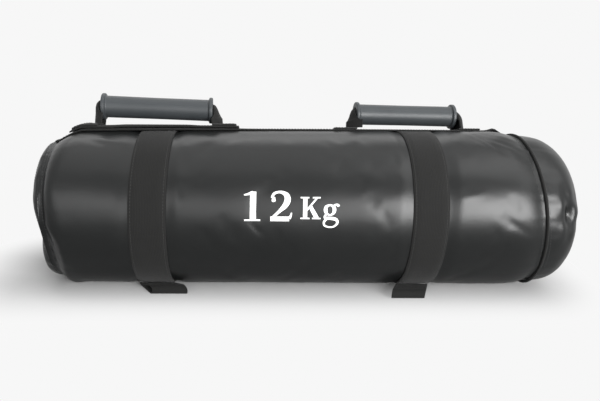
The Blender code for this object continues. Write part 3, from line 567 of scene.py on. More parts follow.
def placeOnBag(point):
    # where a point of the bag was before its end leaned over: along the bag, and the angle round it
    x = point.x
    for _ in range(3):
        x = point.x + leanShare(x) * (point.z - axisHeight(x))
    return x, math.degrees(math.atan2(point.z - axisHeight(x), -point.y))


zipWindow = {"half": 0.112, "angle": 180.0, "spread": 5.0}
# where the panel is held in the cloth run, beside the seams, the zip and the floor, and where it has cloth to spare
held = {"seam": 0.001, "seamFade": 0.010, "zipFade": 0.02, "zipTurn": 8, "floorFade": 0.01}
spareCloth = {"left": (-0.238, 0.026), "right": (0.232, 0.024), "rightTop": (1.0, 70, 34), "rightMost": 0.9,
              "least": 0.16}


def makePanel():
    steps, half = bag["around"], zipWindow["half"]
    angles = ringAngles(steps)
    low, high = steps // 2 - 1, steps // 2 + 1
    angles[low], angles[high] = zipWindow["angle"] - zipWindow["spread"], zipWindow["angle"] + zipWindow["spread"]
    corners = (bag["seamLeft"], bag["seamLeft"] + bag["shoulderLeft"], -half, half, bag["seamRight"])
    stations = [corners[0]]
    for start, end, coarser in zip(corners, corners[1:], bag["coarser"]):
        stations += spread(start, end, round((end - start) / bag["alongStep"] / coarser))[1:]
    points = [sheetPoint(x, angle) for x in stations for angle in angles]
    kept, middle = [], 0
    for face in gridFaces(len(stations), steps, True):
        row, cell = divmod(face[0], steps)
        centre = (stations[row] + stations[row + 1]) / 2
        if abs(centre) < bag["alongStep"] and cell == 0:
            middle = len(kept)
        if abs(centre) > half or not low <= cell < high:
            kept.append(face)
    piece = newPiece("bagPanel", points, kept, sheetFinish)
    shape = bmesh.new()
    shape.from_mesh(piece.data)
    bmesh.ops.delete(shape, geom=[v for v in shape.verts if not v.link_faces], context="VERTS")
    shape.to_mesh(piece.data)
    shape.free()
    holding, spare = [], []
    for v in piece.data.vertices:
        x, angle = placeOnBag(v.co)
        free = webbingMask(x, angle) * eased((fromSeam(x) - held["seam"]) / held["seamFade"])
        away = max(abs(x) - half, 0) / held["zipFade"]
        away += max(abs(turnBetween(angle, 180)) - zipWindow["spread"] - 1, 0) / held["zipTurn"]
        holding.append(1 - free * eased(away) * eased((v.co.z - cloth["floor"]) / held["floorFade"]))
        right = spareCloth["rightMost"] * bump(x, *spareCloth["right"]) * hill(angle, *spareCloth["rightTop"])
        spare.append(within(bump(x, *spareCloth["left"]) + right + spareCloth["least"], 0, 1))
    aimOutwards(piece, middle, Vector((0, -1, 0)))
    settle(piece, holding, spare, **cloth["panel"])
    return thicken(piece, bag["sheet"], lambda co: fineSlack(*placeOnBag(co)))


def bake(piece):
    # the evaluated mesh takes the place of the piece's own, and its modifiers go
    evaluated = piece.evaluated_get(bpy.context.evaluated_depsgraph_get())
    mesh = bpy.data.meshes.new_from_object(evaluated)
    piece.modifiers.clear()
    old = piece.data
    piece.data = mesh
    bpy.data.meshes.remove(old)
    piece.data.name = piece.name
    return piece


def makeCap(side):
    steps, rings = capGrid["around"], capGrid["rings"]
    angles = ringAngles(steps)
    shares = [1 - (1 - step / rings) ** capGrid["crowding"] for step in range(rings)]
    points = [capSheetPoint(side, share, angle) for share in shares for angle in angles]
    points.append(capSheetPoint(side, 0.9999, 0.0))
    faces = gridFaces(rings, steps, True) + fan((rings - 1) * steps, steps, len(points) - 1)
    piece = newPiece("bagCap_" + side, points, faces, sheetFinish)
    aimOutwards(piece, len(faces) - 1, Vector((outward[side], 0, 0)))
    holding = [1 - eased(share * 7) * eased((p.z - cloth["floor"]) / capGrid["floorFade"])
               for share, p in zip([share for share in shares for _ in angles], points)] + [0.0]
    settle(piece, holding, [1.0] * len(points), **cloth[side])
    return thicken(piece, bag["sheet"])


# foam behind each cap, which takes the cap's slack form, and the liner in the body
foam = {"under": 0.0070, "more": 0.0060, "around": 72, "rings": 18, "end": 0.985, "reach": 0.008, "edge": 0.011,
        "inset": 0.0050, "floor": 0.0036, "thick": 0.010, "play": 0.0005}


def makeFoamPad(side):
    angles, steps = ringAngles(foam["around"]), foam["around"]
    inner = seamX[side] - outward[side] * foam["reach"]
    centre = Vector((inner, 0, axisHeight(seamX[side])))
    rows = [[bodyPoint(x, angle, foam["edge"] - min(0.0, slackHeight(x, angle))) for angle in angles]
            for x in spread(inner, seamX[side], 2)[:-1]]
    for share in spread(0, foam["end"], foam["rings"]):
        depth = foam["under"] + foam["more"] * (1 - share) ** 2
        ring = [capSheetPoint(side, share, angle) for angle in angles]
        rows.append([point - (point - centre).normalized() * depth for point in ring])
    points = flat(rows) + [sum(row, Vector()) / steps for row in (rows[0], rows[-1])]
    faces = gridFaces(len(rows), steps, True)
    faces += fan(0, steps, len(points) - 2) + fan((len(rows) - 1) * steps, steps, len(points) - 1)
    return faceOutwards(newPiece("foamPad_" + side, points, faces, foamFinish), sharp=50)


def makeLiner():
    low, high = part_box("foam_liner")
    angles = ringAngles(foam["around"])
    stations = spread(low[0] + foam["play"], high[0] - foam["play"], 84)

    def rows(inset):
        return [[bodyPoint(x, a, inset - min(0.0, slackHeight(x, a)), floor=foam["floor"] + inset - foam["inset"])
                 for a in angles] for x in stations]

    uvs = [[(math.radians(a) * bag["radius"], x) for a in angles] for x in stations]
    return slab("foamLiner", rows(foam["inset"]), rows(foam["inset"] + foam["thick"]), foamFinish, uvs, True)


def makePiping(side):
    radius, proud = piping[side]
    x = seamX[side] + outward[side] * bag["gap"] / 2
    steps, sides = 2 * bag["around"], piping["sides"]
    turns = [2 * math.pi * corner / sides for corner in range(sides)]
    rows, uvs = [], []
    for angle in ringAngles(steps):
        # it stands out of the seam at the lower front of the full end
        loose = hill(angle, *piping["loose"]) if side == "right" else 0.0
        middle, out = bodyPoint(x, angle, -(proud + loose + slackHeight(seamX[side], angle))), outAt(angle)
        middle.z = max(middle.z, radius)
        rows.append([middle + radius * (Vector((math.cos(t), 0, 0)) + out * math.sin(t)) for t in turns])
        uvs.append([(math.radians(angle) * bag["radius"], t * radius) for t in turns])
    finish = webFinish if side == "right" else sheetFinish
    faces = gridFaces(steps, sides, True, True)
    return faceOutwards(newPiece("pipingRing_" + side, flat(rows), faces, finish, flat(uvs)))


def makeBand(side):
    angles = ringAngles(2 * bag["around"])
    half, thick, edge = webbing["width"] / 2, webbing["thick"], webbing["edge"]
    across = (-half, -half + edge, -half / 2, 0, half / 2, half - edge, half)
    stations = [bandX[side] + far for far in across]
    drops = [webbing["rounded"] if abs(far) == half else 0 for far in across]
    outer = [[bodyPoint(x, a, drop, floor=drop) for a in angles] for x, drop in zip(stations, drops)]
    inner = [[bodyPoint(x, a, thick, floor=thick) for a in angles] for x in stations]
    uvs = [[(math.radians(a) * bag["radius"], x - bandX[side]) for a in angles] for x in stations]
    return slab("bandWeb_" + side, outer, inner, webFinish, uvs, True)


def webOnBag(name, start, end, low, rise):
    # flat webbing that follows the strip's line, its underside this far above the bag
    shares = (-1, -0.94, -0.66, -0.33, 0, 0.33, 0.66, 0.94, 1)
    outer, inner, uvs = [], [], []
    for x in spread(start, end, max(2, round((end - start) / webbing["step"]))):
        lift = low + rise(x)
        angles = [stripAngle(x) + stripHalf(x) * share for share in shares]
        rounded = [0.0006 if abs(share) == 1 else 0 for share in shares]
        outer.append([bodyPoint(x, a, -lift - webbing["thick"] + r) for a, r in zip(angles, rounded)])
        inner.append([bodyPoint(x, a, -lift) for a in angles])
        uvs.append([(x, share * webbing["width"] / 2) for share in shares])
    return slab(name, outer, inner, webFinish, uvs)


# how the left handle's base lifts: more under the tube than under its flanges, which swing closer
lifted = {"height": 0.0017, "more": 0.0008, "tube": 0.052, "tubeFade": 0.020, "left": -0.252, "leftFade": 0.02,
          "right": -0.020, "rightFade": 0.05}


def baseRise(x):
    middle = eased((lifted["tube"] - abs(x - handleX("left"))) / lifted["tubeFade"])
    ends = eased((lifted["right"] - x) / lifted["rightFade"]), eased((x - lifted["left"]) / lifted["leftFade"])
    return (lifted["height"] + lifted["more"] * middle) * ends[0] * ends[1]


def stripRise(x):
    # the strip follows the base in part, and humps before its right end
    height, place, width = strip["hump"]
    return height * bump(x, place, width) + strip["follows"] * baseRise(x)


def stripStation(x):
    station = x
    for _ in range(4):
        height = (straightRadius(station) + layer) * math.sin(math.radians(stripAngle(station)))
        station = x + leanShare(station) * height
    return station


# handles: where each hinge line lies, how high its grip is, and the webbing's opening fan
handle = {
    "offset": -0.0037, "left": {"height": 0.0191, "rise": 0.004, "layers": 2},
    "right": {"height": 0.0209, "rise": 0.0, "layers": 1},
    "length": 0.1245, "reach": 0.0105, "slit": 0.0015, "runOut": 0.0006, "pivot": 0.0016,
    "turns": (0, 20, 40, 60, 80), "openings": (250, 180, 132, 108, 98), "foot": 92,
    "tail": 0.027, "tailUnder": 0.0098, "beyond": 0.00305, "arc": 24, "clearance": 0.0015,
}
# how far each leg is drawn in, how far its front edge slants in, and how straight it falls
legs = {("left", -1): (0.0030, 0.0030, 0.05), ("left", 1): (-0.0010, 0.0050, 0.55),
        ("right", -1): (0.0, 0.0090, 0.60), ("right", 1): (-0.0010, 0.0020, 0.0)}
rollRadius = (webbing["width"] + handle["slit"]) / (2 * math.pi)
footX = handle["length"] / 2 + handle["reach"]
tailNear = footX - handle["tailUnder"]


def seatTop(side):
    return layer * handle[side]["layers"]


def handleX(side):
    return bandX[side] + handle["offset"]


def handleFrame(side):
    feet = [stripStation(handleX(side) + direction * footX) for direction in (-1, 1)]
    rises = (handle[side]["rise"], 0)
    ends = [bodyPoint(x, stripAngle(x), -seatTop(side) - rise) for x, rise in zip(feet, rises)]
    along = (ends[1] - ends[0]).normalized()
    across = outAt(stripAngle(handleX(side))).cross(along).normalized()
    place = Matrix((along, across, along.cross(across))).transposed().to_4x4()
    place.translation = (ends[0] + ends[1]) / 2
    return place


def arcDepth(opening):
    angle = math.radians(opening)
    return webbing["width"] / angle * (1 - math.cos(angle / 2))


def leaning(turn):  # up at nought degrees and along the bag at 90
    return Vector((math.sin(math.radians(turn)), 0, math.cos(math.radians(turn))))


def webSection(crown, turn, opening):
    angle, out, across = math.radians(opening), leaning(turn), Vector((0, 1, 0))
    radius, half = webbing["width"] / angle, webbing["thick"] / 2
    centre = crown - out * radius
    turns = [angle * (step / handle["arc"] - 0.5) for step in range(handle["arc"] + 1)]
    spokes = [out * math.cos(t) + across * math.sin(t) for t in turns]
    return [centre + s * (radius + half) for s in spokes], [centre + s * (radius - half) for s in spokes]


def seatOnBag(place, point, height):
    for _ in range(4):
        spot = place @ point
        above = math.hypot(spot.y, spot.z - axisHeight(spot.x)) - straightRadius(spot.x)
        point.z += height - above
    return point


def handleSections(side, place, direction):
    top = handle[side]["height"] + rollRadius
    rolled = math.degrees(webbing["width"] / rollRadius)
    sections = [webSection(Vector((handle["length"] / 2 - handle["runOut"], 0, top)), 0, rolled)]
    start = handle["length"] / 2 + handle["runOut"]
    pivot = Vector((start, 0, top - arcDepth(handle["openings"][0]) - handle["pivot"]))
    stops = list(zip(handle["turns"], handle["openings"]))
    drawn, slant, straight = legs[side, direction]
    fine = []
    for (turn, opening), (nextTurn, nextOpening) in zip(stops, stops[1:]):
        fine += [(turn + (nextTurn - turn) * s / 4, opening + (nextOpening - opening) * s / 4) for s in range(4)]

    def settled(section, share):
        for half in section:
            for p in half:
                p.x -= share * (drawn + slant * max(0.0, -p.y) / (webbing["width"] / 2))
        return section

    for turn, opening in [*fine, stops[-1]]:
        crown = pivot + leaning(turn) * (arcDepth(opening) + handle["pivot"])
        chord = Vector((start, 0, top)).lerp(Vector((footX, 0, 0)), turn / 90)
        crown = crown.lerp(chord, straight * math.sin(math.radians(turn * 2)))
        sections.append(settled(webSection(crown, turn, opening), eased(turn / 90)))
    last = sections[-1]
    foot = settled(webSection(Vector((footX, 0, 0)), 90, handle["foot"]), 1.0)
    for share in (0.35, 0.7):
        sections.append(tuple([a.lerp(b, share) for a, b in zip(*halves)] for halves in zip(last, foot)))
    sections.append(foot)
    mirror = Vector((direction, 1, 1))
    sections = [tuple([p * mirror for p in half] for half in section) for section in sections]
    footHeight = seatTop(side) + layer + bag["gap"] + baseRise((place @ Vector((direction * footX, 0, 0))).x)
    foot = tuple([seatOnBag(place, p, footHeight) for p in half] for half in sections[-1])
    return sections[:-1] + [foot]


def makeHandleWeb(side):
    place = handleFrame(side)
    sections = handleSections(side, place, -1)[::-1] + handleSections(side, place, 1)
    outer, inner = ([[place @ p for p in section[face]] for section in sections] for face in (0, 1))
    middle = [sum(row, Vector()) / len(row) for row in outer]
    shares = [step / handle["arc"] - 0.5 for step in range(handle["arc"] + 1)]
    uvs = [[(along, share * webbing["width"]) for share in shares] for along in travelled(middle)]
    return slab("handleWeb_" + side, outer, inner, webFinish, uvs), place


grip = {"radius": 0.0123, "waist": 0.0002, "flange": 0.0150, "flangeWidth": 0.0042, "round": 0.0012,
        "fillet": 0.0016, "bore": rollRadius + webbing["thick"] / 2 + 0.0008, "chamfer": 0.0010, "steps": 96,
        "line": 0.00022, "lineWidth": 2.6, "lineAt": (96, 276), "turned": 1.2}


def makeGrip(side, place):
    end, inside = handle["length"] / 2, handle["length"] / 2 - grip["flangeWidth"]
    rim, bend, fillet = grip["flange"] - grip["round"], grip["round"], grip["fillet"]
    quarter = spread(0, math.pi / 2, 5)
    half = [(0, grip["radius"] - grip["waist"]), (inside * 0.5, grip["radius"] - grip["waist"] / 2)]
    half += [(inside - fillet * (1 - math.sin(t)), grip["radius"] + fillet * (1 - math.cos(t))) for t in quarter]
    half += [(inside + bend * (1 - math.cos(t)), rim + bend * math.sin(t)) for t in quarter]
    half += [(end - bend + bend * math.cos(t), rim + bend * math.sin(t)) for t in spread(math.pi / 2, 0, 5)]
    half += [(end, grip["bore"] + grip["chamfer"]), (end - grip["chamfer"], grip["bore"]), (0, grip["bore"])]
    axis = place @ Matrix.Translation((0, 0, handle[side]["height"]))
    rows = []
    for along, radius in half + [(-x, r) for x, r in half[-2:0:-1]]:
        row = []
        for step in range(grip["steps"]):
            turn = 2 * math.pi * step / grip["steps"]
            r = radius
            if grip["bore"] < radius < grip["radius"] + 0.0003:
                # a fine parting line of the mould on the front and the back of the tube
                front, back = (bump(math.degrees(turn), at, grip["lineWidth"]) for at in grip["lineAt"])
                r += grip["line"] * (front + back)
            turn += grip["turned"]
            row.append(axis @ Vector((along, r * math.cos(turn), r * math.sin(turn))))
        rows.append(row)
    faces = gridFaces(len(rows), grip["steps"], True, True)
    return faceOutwards(newPiece("gripTube_" + side, flat(rows), faces, gripFinish), 0.000002, 40)


loop = {"angle": -62.0, "left": {"length": 0.0150, "skew": 0.85}, "right": {"length": 0.0225, "skew": 0.4},
        "tip": 0.0054, "floorGap": 0.0004, "sewn": 0.0055, "nip": 0.0004, "hingeGap": 0.0005}


def dropOutline(root, rootRadius, tip, tipRadius):
    away = tip - root
    heading = math.degrees(math.atan2(away.z, away.y))
    slope = math.degrees(math.asin((tipRadius - rootRadius) / away.length))
    turns = [(root, rootRadius, a) for a in spread(90 + slope, 270 - slope, 10)]
    turns += [(tip, tipRadius, a) for a in spread(-90 - slope, 90 + slope, 28)]
    outline = []
    for centre, radius, angle in turns:
        turn = math.radians(heading + angle)
        outline.append(centre + radius * Vector((0, math.cos(turn), math.sin(turn))))
    return outline


def makeLoop(side):
    x = bandX[side]
    hinge = around(x, straightRadius(x) + loop["hingeGap"] + webbing["thick"], loop["angle"], 0, 0)
    length = loop[side]["length"]
    drop = loop["tip"] + loop["floorGap"] - hinge.z
    tip = Vector((0, -math.sqrt(length**2 - drop**2), drop))
    outer = dropOutline(Vector(), webbing["thick"], tip, loop["tip"])
    inner = dropOutline(tip * (loop["sewn"] / length), loop["nip"], tip, loop["tip"] - webbing["thick"])
    skew = outward[side] * loop[side]["skew"]
    edges = [webbing["width"] * share / 2 for share in (-1, -0.94, -0.5, 0, 0.5, 0.94, 1)]

    def rows(outline):
        return [[hinge + Vector((along + skew * p.y, p.y, p.z)) for p in outline] for along in edges]

    uvs = [[(far, along) for far in travelled(outer)] for along in edges]
    return slab("loopWeb_" + side, rows(outer), rows(inner), webFinish, uvs, True)


# the zip's two tapes behind the window, flat beside their coils
zipTape = {"start": 0.0006, "width": 0.0129, "face": -0.0018, "thick": 0.0008, "end": 0.1135,
           "coilEnd": 0.1115, "coilWidth": 0.0028, "coilHeight": 0.0020, "pitch": 0.00125}


def zipPoint(x, across, out):
    angle = zipWindow["angle"] - math.degrees(across / straightRadius(x))
    return bodyPoint(x, angle, -out)


def makeZipTape(name, upward):
    shares = spread(zipTape["start"], zipTape["start"] + zipTape["width"], 8)
    stations = spread(-zipTape["end"], zipTape["end"], 90)
    outer, inner = ([[zipPoint(x, upward * across, out) for across in shares] for x in stations]
                    for out in (zipTape["face"], zipTape["face"] - zipTape["thick"]))
    return slab(name, outer, inner, webFinish, [[(x, across) for across in shares] for x in stations])


# one Geometry Nodes tree repeats a small bead along paths: stitches, and the turns of the zip's coil
def beadTree():
    tree = bpy.data.node_groups.new("beadsAlongPaths", "GeometryNodeTree")
    face, keys = tree.interface, {}
    face.new_socket("Paths", in_out="INPUT", socket_type="NodeSocketGeometry")
    for name, kind in (("Pitch", "Float"), ("Half size", "Vector"), ("Finish", "Material")):
        keys[name] = face.new_socket(name, in_out="INPUT", socket_type="NodeSocket" + kind).identifier
    face.new_socket("Beads", in_out="OUTPUT", socket_type="NodeSocketGeometry")

    def add(kind, settings=None, values=None, links=None):
        made = tree.nodes.new(kind)
        for key, value in (settings or {}).items():
            setattr(made, key, value)
        for key, value in (values or {}).items():
            made.inputs[key].default_value = value
        for key, out in (links or {}).items():
            tree.links.new(out, made.inputs[key])
        return made

    given = add("NodeGroupInput").outputs
    paths = add("GeometryNodeMeshToCurve", links={"Mesh": given["Paths"]}).outputs["Curve"]
    stops = add("GeometryNodeResampleCurve", {"mode": "LENGTH"}, links={"Curve": paths, "Length": given["Pitch"]})
    tangent = add("GeometryNodeInputTangent").outputs["Tangent"]
    turned = add("FunctionNodeAlignRotationToVector", {"axis": "X"}, links={"Vector": tangent})
    bead = add("GeometryNodeMeshUVSphere", values={"Segments": 6, "Rings": 4, "Radius": 1.0})
    spots = add("GeometryNodeInstanceOnPoints", links={
        "Points": stops.outputs["Curve"], "Instance": bead.outputs["Mesh"],
        "Rotation": turned.outputs["Rotation"], "Scale": given["Half size"]})
    real = add("GeometryNodeRealizeInstances", links={"Geometry": spots.outputs["Instances"]})
    smooth = add("GeometryNodeSetShadeSmooth", links={"Geometry": real.outputs["Geometry"]})
    done = add("GeometryNodeSetMaterial", links={"Geometry": smooth.outputs["Geometry"], "Material": given["Finish"]})
    add("NodeGroupOutput", links={"Beads": done.outputs["Geometry"]})
    return tree, keys


beads, beadKeys = beadTree()


def beadsAlong(name, paths, pitch, halfSize, finish):
    # paths are lists of points; a point that is None parts a path
    points, edges = [], []
    for path in paths:
        for before, point in zip([None, *path], path):
            if point is not None:
                if before is not None:
                    edges.append((len(points) - 1, len(points)))
                points.append(point)
    mesh = bpy.data.meshes.new(name)
    mesh.from_pydata([tuple(point) for point in points], edges, [])
    made = addObject(name, mesh)
    maker = made.modifiers.new("beads", "NODES")
    maker.node_group = beads
    for key, value in (("Pitch", pitch), ("Half size", halfSize), ("Finish", finish)):
        maker[beadKeys[key]] = value
    return bake(made)


stitch = {"pitch": 0.0034, "half": (0.00118, 0.00026, 0.00026), "edge": 0.0024, "seam": 0.0046, "floor": 0.0016}


def overSheet(tree, x, angle, lift):
    # a point over the sheet as it lies now, or None where the bag rests on the floor
    out = outAt(angle)
    start = around(x, straightRadius(x) + 0.03, angle, -1, leanShare(x))
    hit = tree.ray_cast(start, -out)[0]
    return None if hit is None or hit.z < stitch["floor"] else hit + out * lift


def overWebbing(x, share, layers):
    # a point on the strip's line, on top of so many layers of webbing
    angle = stripAngle(x) + stripHalf(x) * share
    rise = baseRise(x) if layers > 1 else 0.0
    return bodyPoint(x, angle, -(bag["gap"] + layers * layer + rise - 0.00015))


def webPath(*corners, layers):
    # straight rows between corners given as x and share of the half width
    path = []
    for (x0, s0), (x1, s1) in zip(corners, corners[1:]):
        count = max(2, round(math.hypot(x1 - x0, (s1 - s0) * webbing["width"] / 2) / 0.002))
        path += [overWebbing(x0 + (x1 - x0) * k / count, s0 + (s1 - s0) * k / count, layers) for k in range(count)]
    return path + [overWebbing(*corners[-1], layers)]


def webBox(low, high, share, layers):
    return webPath((low, -share), (high, -share), (high, share), (low, share), (low, -share), layers=layers)


def stitchPaths(trees, tails, base):
    paths, turns, panel = [], range(0, 361, 3), trees["panel"]
    for side in ("left", "right"):
        inside, beyond = (seamX[side] + outward[side] * away for away in (-stitch["seam"], stitch["seam"]))
        paths.append([overSheet(panel, inside, a, 0.0) if webbingMask(inside, a) > 0.3 else None for a in turns])
        paths.append([overSheet(trees[side], beyond, a, 0.0) for a in turns])
        for edge in (-1, 1):
            x = bandX[side] + edge * (webbing["width"] / 2 - stitch["edge"])
            row = []
            for a in turns:
                covered = abs(turnBetween(a, stripAngle(x))) < stripHalf(x) + 0.5
                point = bodyPoint(x, a, 0.0001, floor=0.0001)
                row.append(None if covered or point.z < stitch["floor"] else point)
            paths.append(row)
    share = 1 - 2 * stitch["edge"] / webbing["width"]
    start, end = strip["start"] + stitch["edge"], strip["end"] - stitch["edge"]
    for edge in (-share, share):
        paths.append(webPath((start, edge), (base[0] - 0.001, edge), layers=1))
        paths.append(webPath((base[1] + 0.001, edge), (end, edge), layers=1))
    paths.append(webBox(base[0] + stitch["edge"], base[1] - stitch["edge"], share, 2))
    for low, high, layers in tails:
        low, high = low + stitch["edge"], high - stitch["edge"]
        paths.append(webBox(low, high, share, layers))
        paths.append(webPath((low, -share), (high, share), layers=layers))
        paths.append(webPath((high, -share), (low, share), layers=layers))
    half, reach = zipWindow["half"] + 0.0022, zipWindow["spread"] + 1.5
    for side in (-1, 1):
        paths.append([overSheet(panel, x, 180 + side * reach, 0.0) for x in spread(-half, half, 90)])
        paths.append([overSheet(panel, side * half, 180 + a, 0.0) for a in spread(-reach, reach, 6)])
    return paths


# the weight mark: where each letter stands along and round the bag, and its strokes, in tenths of a millimetre,
# with x, height and width at each stop
mark = {"proud": 0.00016, "sunk": 0.0004, "step": 0.0008}
letters = {
    "1": (-0.0496, 10.2, (
        ((100, 0, 62), (100, 305, 62)),
        ((6, 270, 12), (46, 278, 22), (98, 296, 34)),
        ((12, 8, 16), (176, 8, 16)))),
    "2": (-0.0229, 10.2, (
        ((26, 228, 42), (42, 226, 56), (62, 228, 42)),
        ((26, 240, 26), (50, 286, 26), (112, 302, 26), (172, 274, 50),
         (188, 220, 64), (164, 164, 56), (108, 106, 34), (52, 54, 26),
         (20, 28, 22)),
        ((12, 24, 48), (206, 24, 48)),
        ((206, 30, 36), (222, 56, 22), (230, 88, 12)))),
    "k": (0.0091, 11.7, (
        ((50, 0, 43), (50, 226, 43)),
        ((2, 7, 14), (96, 7, 14)), ((2, 221, 14), (92, 221, 14)),
        ((66, 90, 18), (172, 217, 18)), ((128, 221, 14), (208, 221, 14)),
        ((100, 134, 38), (172, 10, 45)), ((122, 7, 14), (210, 7, 14)))),
    "g": (0.0316, 11.7, (
        ((82, 146, 16), (46, 130, 30), (36, 96, 38), (48, 60, 28),
         (82, 44, 14), (116, 60, 28), (128, 96, 38), (118, 130, 30),
         (82, 146, 16)),
        ((116, 134, 16), (140, 148, 20), (164, 146, 26), (172, 132, 28)),
        ((52, 56, 16), (30, 34, 20), (36, 12, 28), (90, 10, 32),
         (148, -4, 32), (160, -42, 24), (122, -78, 18), (70, -82, 16),
         (26, -62, 20), (24, -26, 22), (48, 4, 26)))),
}


def smoothStroke(stops):
    # evenly spaced stops on a curve through the given ones
    ends = [stops[0], *stops, stops[-1]]
    fine = []
    for k in range(len(stops) - 1):
        a, b, c, d = (Vector(stop) for stop in ends[k:k + 4])
        count = max(2, round((c - b).length / mark["step"]))
        for step in range(count):
            t = step / count
            fine.append(0.5 * (2 * b + (c - a) * t + (2 * a - 5 * b + 4 * c - d) * t**2
                               + (3 * b - a - 3 * c + d) * t**3))
    return fine + [Vector(stops[-1])]


def makeMark(tree):
    parts = []
    for start, base, strokes in letters.values():
        for stroke in strokes:
            stops = [tuple(value / 10000 for value in stop) for stop in stroke]
            line = smoothStroke(stops) if len(stops) > 2 else [
                Vector(stops[0]).lerp(Vector(stops[1]), t) for t in spread(0, 1, 16)]
            outer, inner = [], []
            for k, stop in enumerate(line):
                heading = line[min(k + 1, len(line) - 1)].to_2d() - line[max(k - 1, 0)].to_2d()
                side = Vector((-heading.y, heading.x)).normalized() * stop.z / 2
                spots = [stop.to_2d() + side * share for share in (-1, -0.33, 0.33, 1)]
                where = [(start + spot.x, base + math.degrees(spot.y / straightRadius(0))) for spot in spots]
                outer.append([overSheet(tree, x, a, mark["proud"]) for x, a in where])
                inner.append([overSheet(tree, x, a, -mark["sunk"]) for x, a in where])
            uvs = [[(0, 0)] * 4 for _ in line]
            parts.append(slab("stroke", outer, inner, inkFinish, uvs))
    return joined("weightMark", parts)


def joined(name, parts):
    shape = bmesh.new()
    for part in parts:
        shape.from_mesh(part.data)
    mesh = bpy.data.meshes.new(name)
    shape.to_mesh(mesh)
    shape.free()
    mesh.materials.append(parts[0].data.materials[0])
    for part in parts:
        bpy.data.meshes.remove(part.data)
    return addObject(name, mesh)


def surfaceOf(piece):
    mesh = piece.data
    return BVHTree.FromPolygons([v.co for v in mesh.vertices], [face.vertices for face in mesh.polygons])


print("making the sheet")
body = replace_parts(makePanel(), "main_panel")
trees = {"panel": surfaceOf(body)}
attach(body, "bag")
for side in ("left", "right"):
    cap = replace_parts(makeCap(side), "end_cap_" + side)
    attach(cap, "bag")
    trees[side] = surfaceOf(cap)
    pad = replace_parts(makeFoamPad(side), "foam_pad_" + side)
    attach(pad, "bag")
    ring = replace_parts(makePiping(side), "piping_" + side)
    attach(ring, "bag")
    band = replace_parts(makeBand(side), "band_" + side)
    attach(band, "bag")
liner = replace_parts(makeLiner(), "foam_liner")
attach(liner, "bag")
for name, upward in (("upper", 1), ("lower", -1)):
    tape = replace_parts(makeZipTape("zipTape_" + name, upward), "zip_tape_" + name)
    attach(tape, "bag")
print("making the webbing")
stripWeb = webOnBag("stripWeb", strip["start"], strip["end"], bag["gap"], stripRise)
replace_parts(stripWeb, "top_strip")
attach(stripWeb, "bag")
reach = tailNear + handle["tail"] + handle["beyond"]
baseEnds = [stripStation(handleX("left") + away) for away in (-reach, reach)]
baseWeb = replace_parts(webOnBag("baseWeb", *baseEnds, layer + bag["gap"], baseRise), "handle_left_base")
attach(baseWeb, "bag")
tails = []
for side in ("left", "right"):
    for which, direction in (("a", -1), ("b", 1)):
        reaches = sorted((direction * tailNear, direction * (tailNear + handle["tail"])))
        ends = [stripStation(handleX(side) + far) for far in reaches]
        tail = webOnBag("tailWeb_" + side + "_" + which, *ends, seatTop(side) + bag["gap"], baseRise)
        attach(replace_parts(tail, "handle_" + side + "_tail_" + which), "bag")
        tails.append((*ends, handle[side]["layers"] + 1))
    web, place = makeHandleWeb(side)
    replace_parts(web, "handle_" + side + "_webbing")
    # above the crown the webbing is rolled in the grip; the foot and the crown are worked out here but nothing uses
    # them, and the webbing is not attached to the grip, so it does not turn with it
    rolled = handle[side]["height"] - rollRadius - handle["clearance"]
    foot, crown = place @ Vector((0, 0, 0)), place @ Vector((0, 0, rolled))
    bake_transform(web)
    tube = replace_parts(makeGrip(side, place), "grip_" + side)
    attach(tube, "grip_" + side)
    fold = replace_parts(makeLoop(side), "loop_" + side)
    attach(fold, "loop_" + side)

print("sewing and printing")
seams = beadsAlong("stitches", stitchPaths(trees, tails, baseEnds), stitch["pitch"], stitch["half"], threadFinish)
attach(seams, "bag")
coilMiddle = zipTape["start"] + zipTape["coilWidth"] / 2
coilOut = zipTape["face"] + zipTape["coilHeight"] / 2
rows = [[zipPoint(x, upward * coilMiddle, coilOut) for x in spread(-zipTape["coilEnd"], zipTape["coilEnd"], 60)]
        for upward in (-1, 1)]
turns = (zipTape["pitch"] * 0.40, zipTape["coilHeight"] / 2, zipTape["coilWidth"] / 2)
coil = beadsAlong("zipCoil", rows, zipTape["pitch"], turns, coilFinish)
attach(coil, "bag")
weightMark = makeMark(trees["panel"])
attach(weightMark, "bag")

# what stays from the frame gets its finish
kept = {
    zipMetal: ("zip_slider", "zip_pull", "zip_stop_left", "zip_stop_right"),
    sackFinish: ("sand_sack_left", "sand_sack_right"),
    sandFinish: ("sand_fill_left", "sand_fill_right"),
    tieFinish: ("sack_tie_left", "sack_tie_right"),
}
for finish, names in kept.items():
    for name in names:
        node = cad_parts[name]
        node.data.materials.clear()
        node.data.materials.append(finish)
print("frame nodes finished")

# camera, lamps, floor
view = {"place": (-0.03411, -0.62969, 0.31404), "right": (0.99719, -0.06423, 0.03848),
        "ahead": (0.07335, 0.94099, -0.3304), "lens": 33.9}
right, ahead = Vector(view["right"]).normalized(), Vector(view["ahead"]).normalized()
up = right.cross(ahead).normalized()
right = ahead.cross(up).normalized()
lens = bpy.data.cameras.new("camera")
lens.lens, lens.sensor_width, lens.clip_start = view["lens"], 36.0, 0.01
camera = addObject("camera", lens)
camera.matrix_world = Matrix((right, up, -ahead)).transposed().to_4x4()
camera.location = view["place"]
bpy.context.scene.camera = camera

studio = {"white": 0.930, "dome": 0.20, "footprint": (0.285, 0.02), "near": 0.0, "far": 0.10,
          "mirrorNear": 0.35, "mirrorFar": 1.4, "bounce": 0.30, "pale": 0.40}


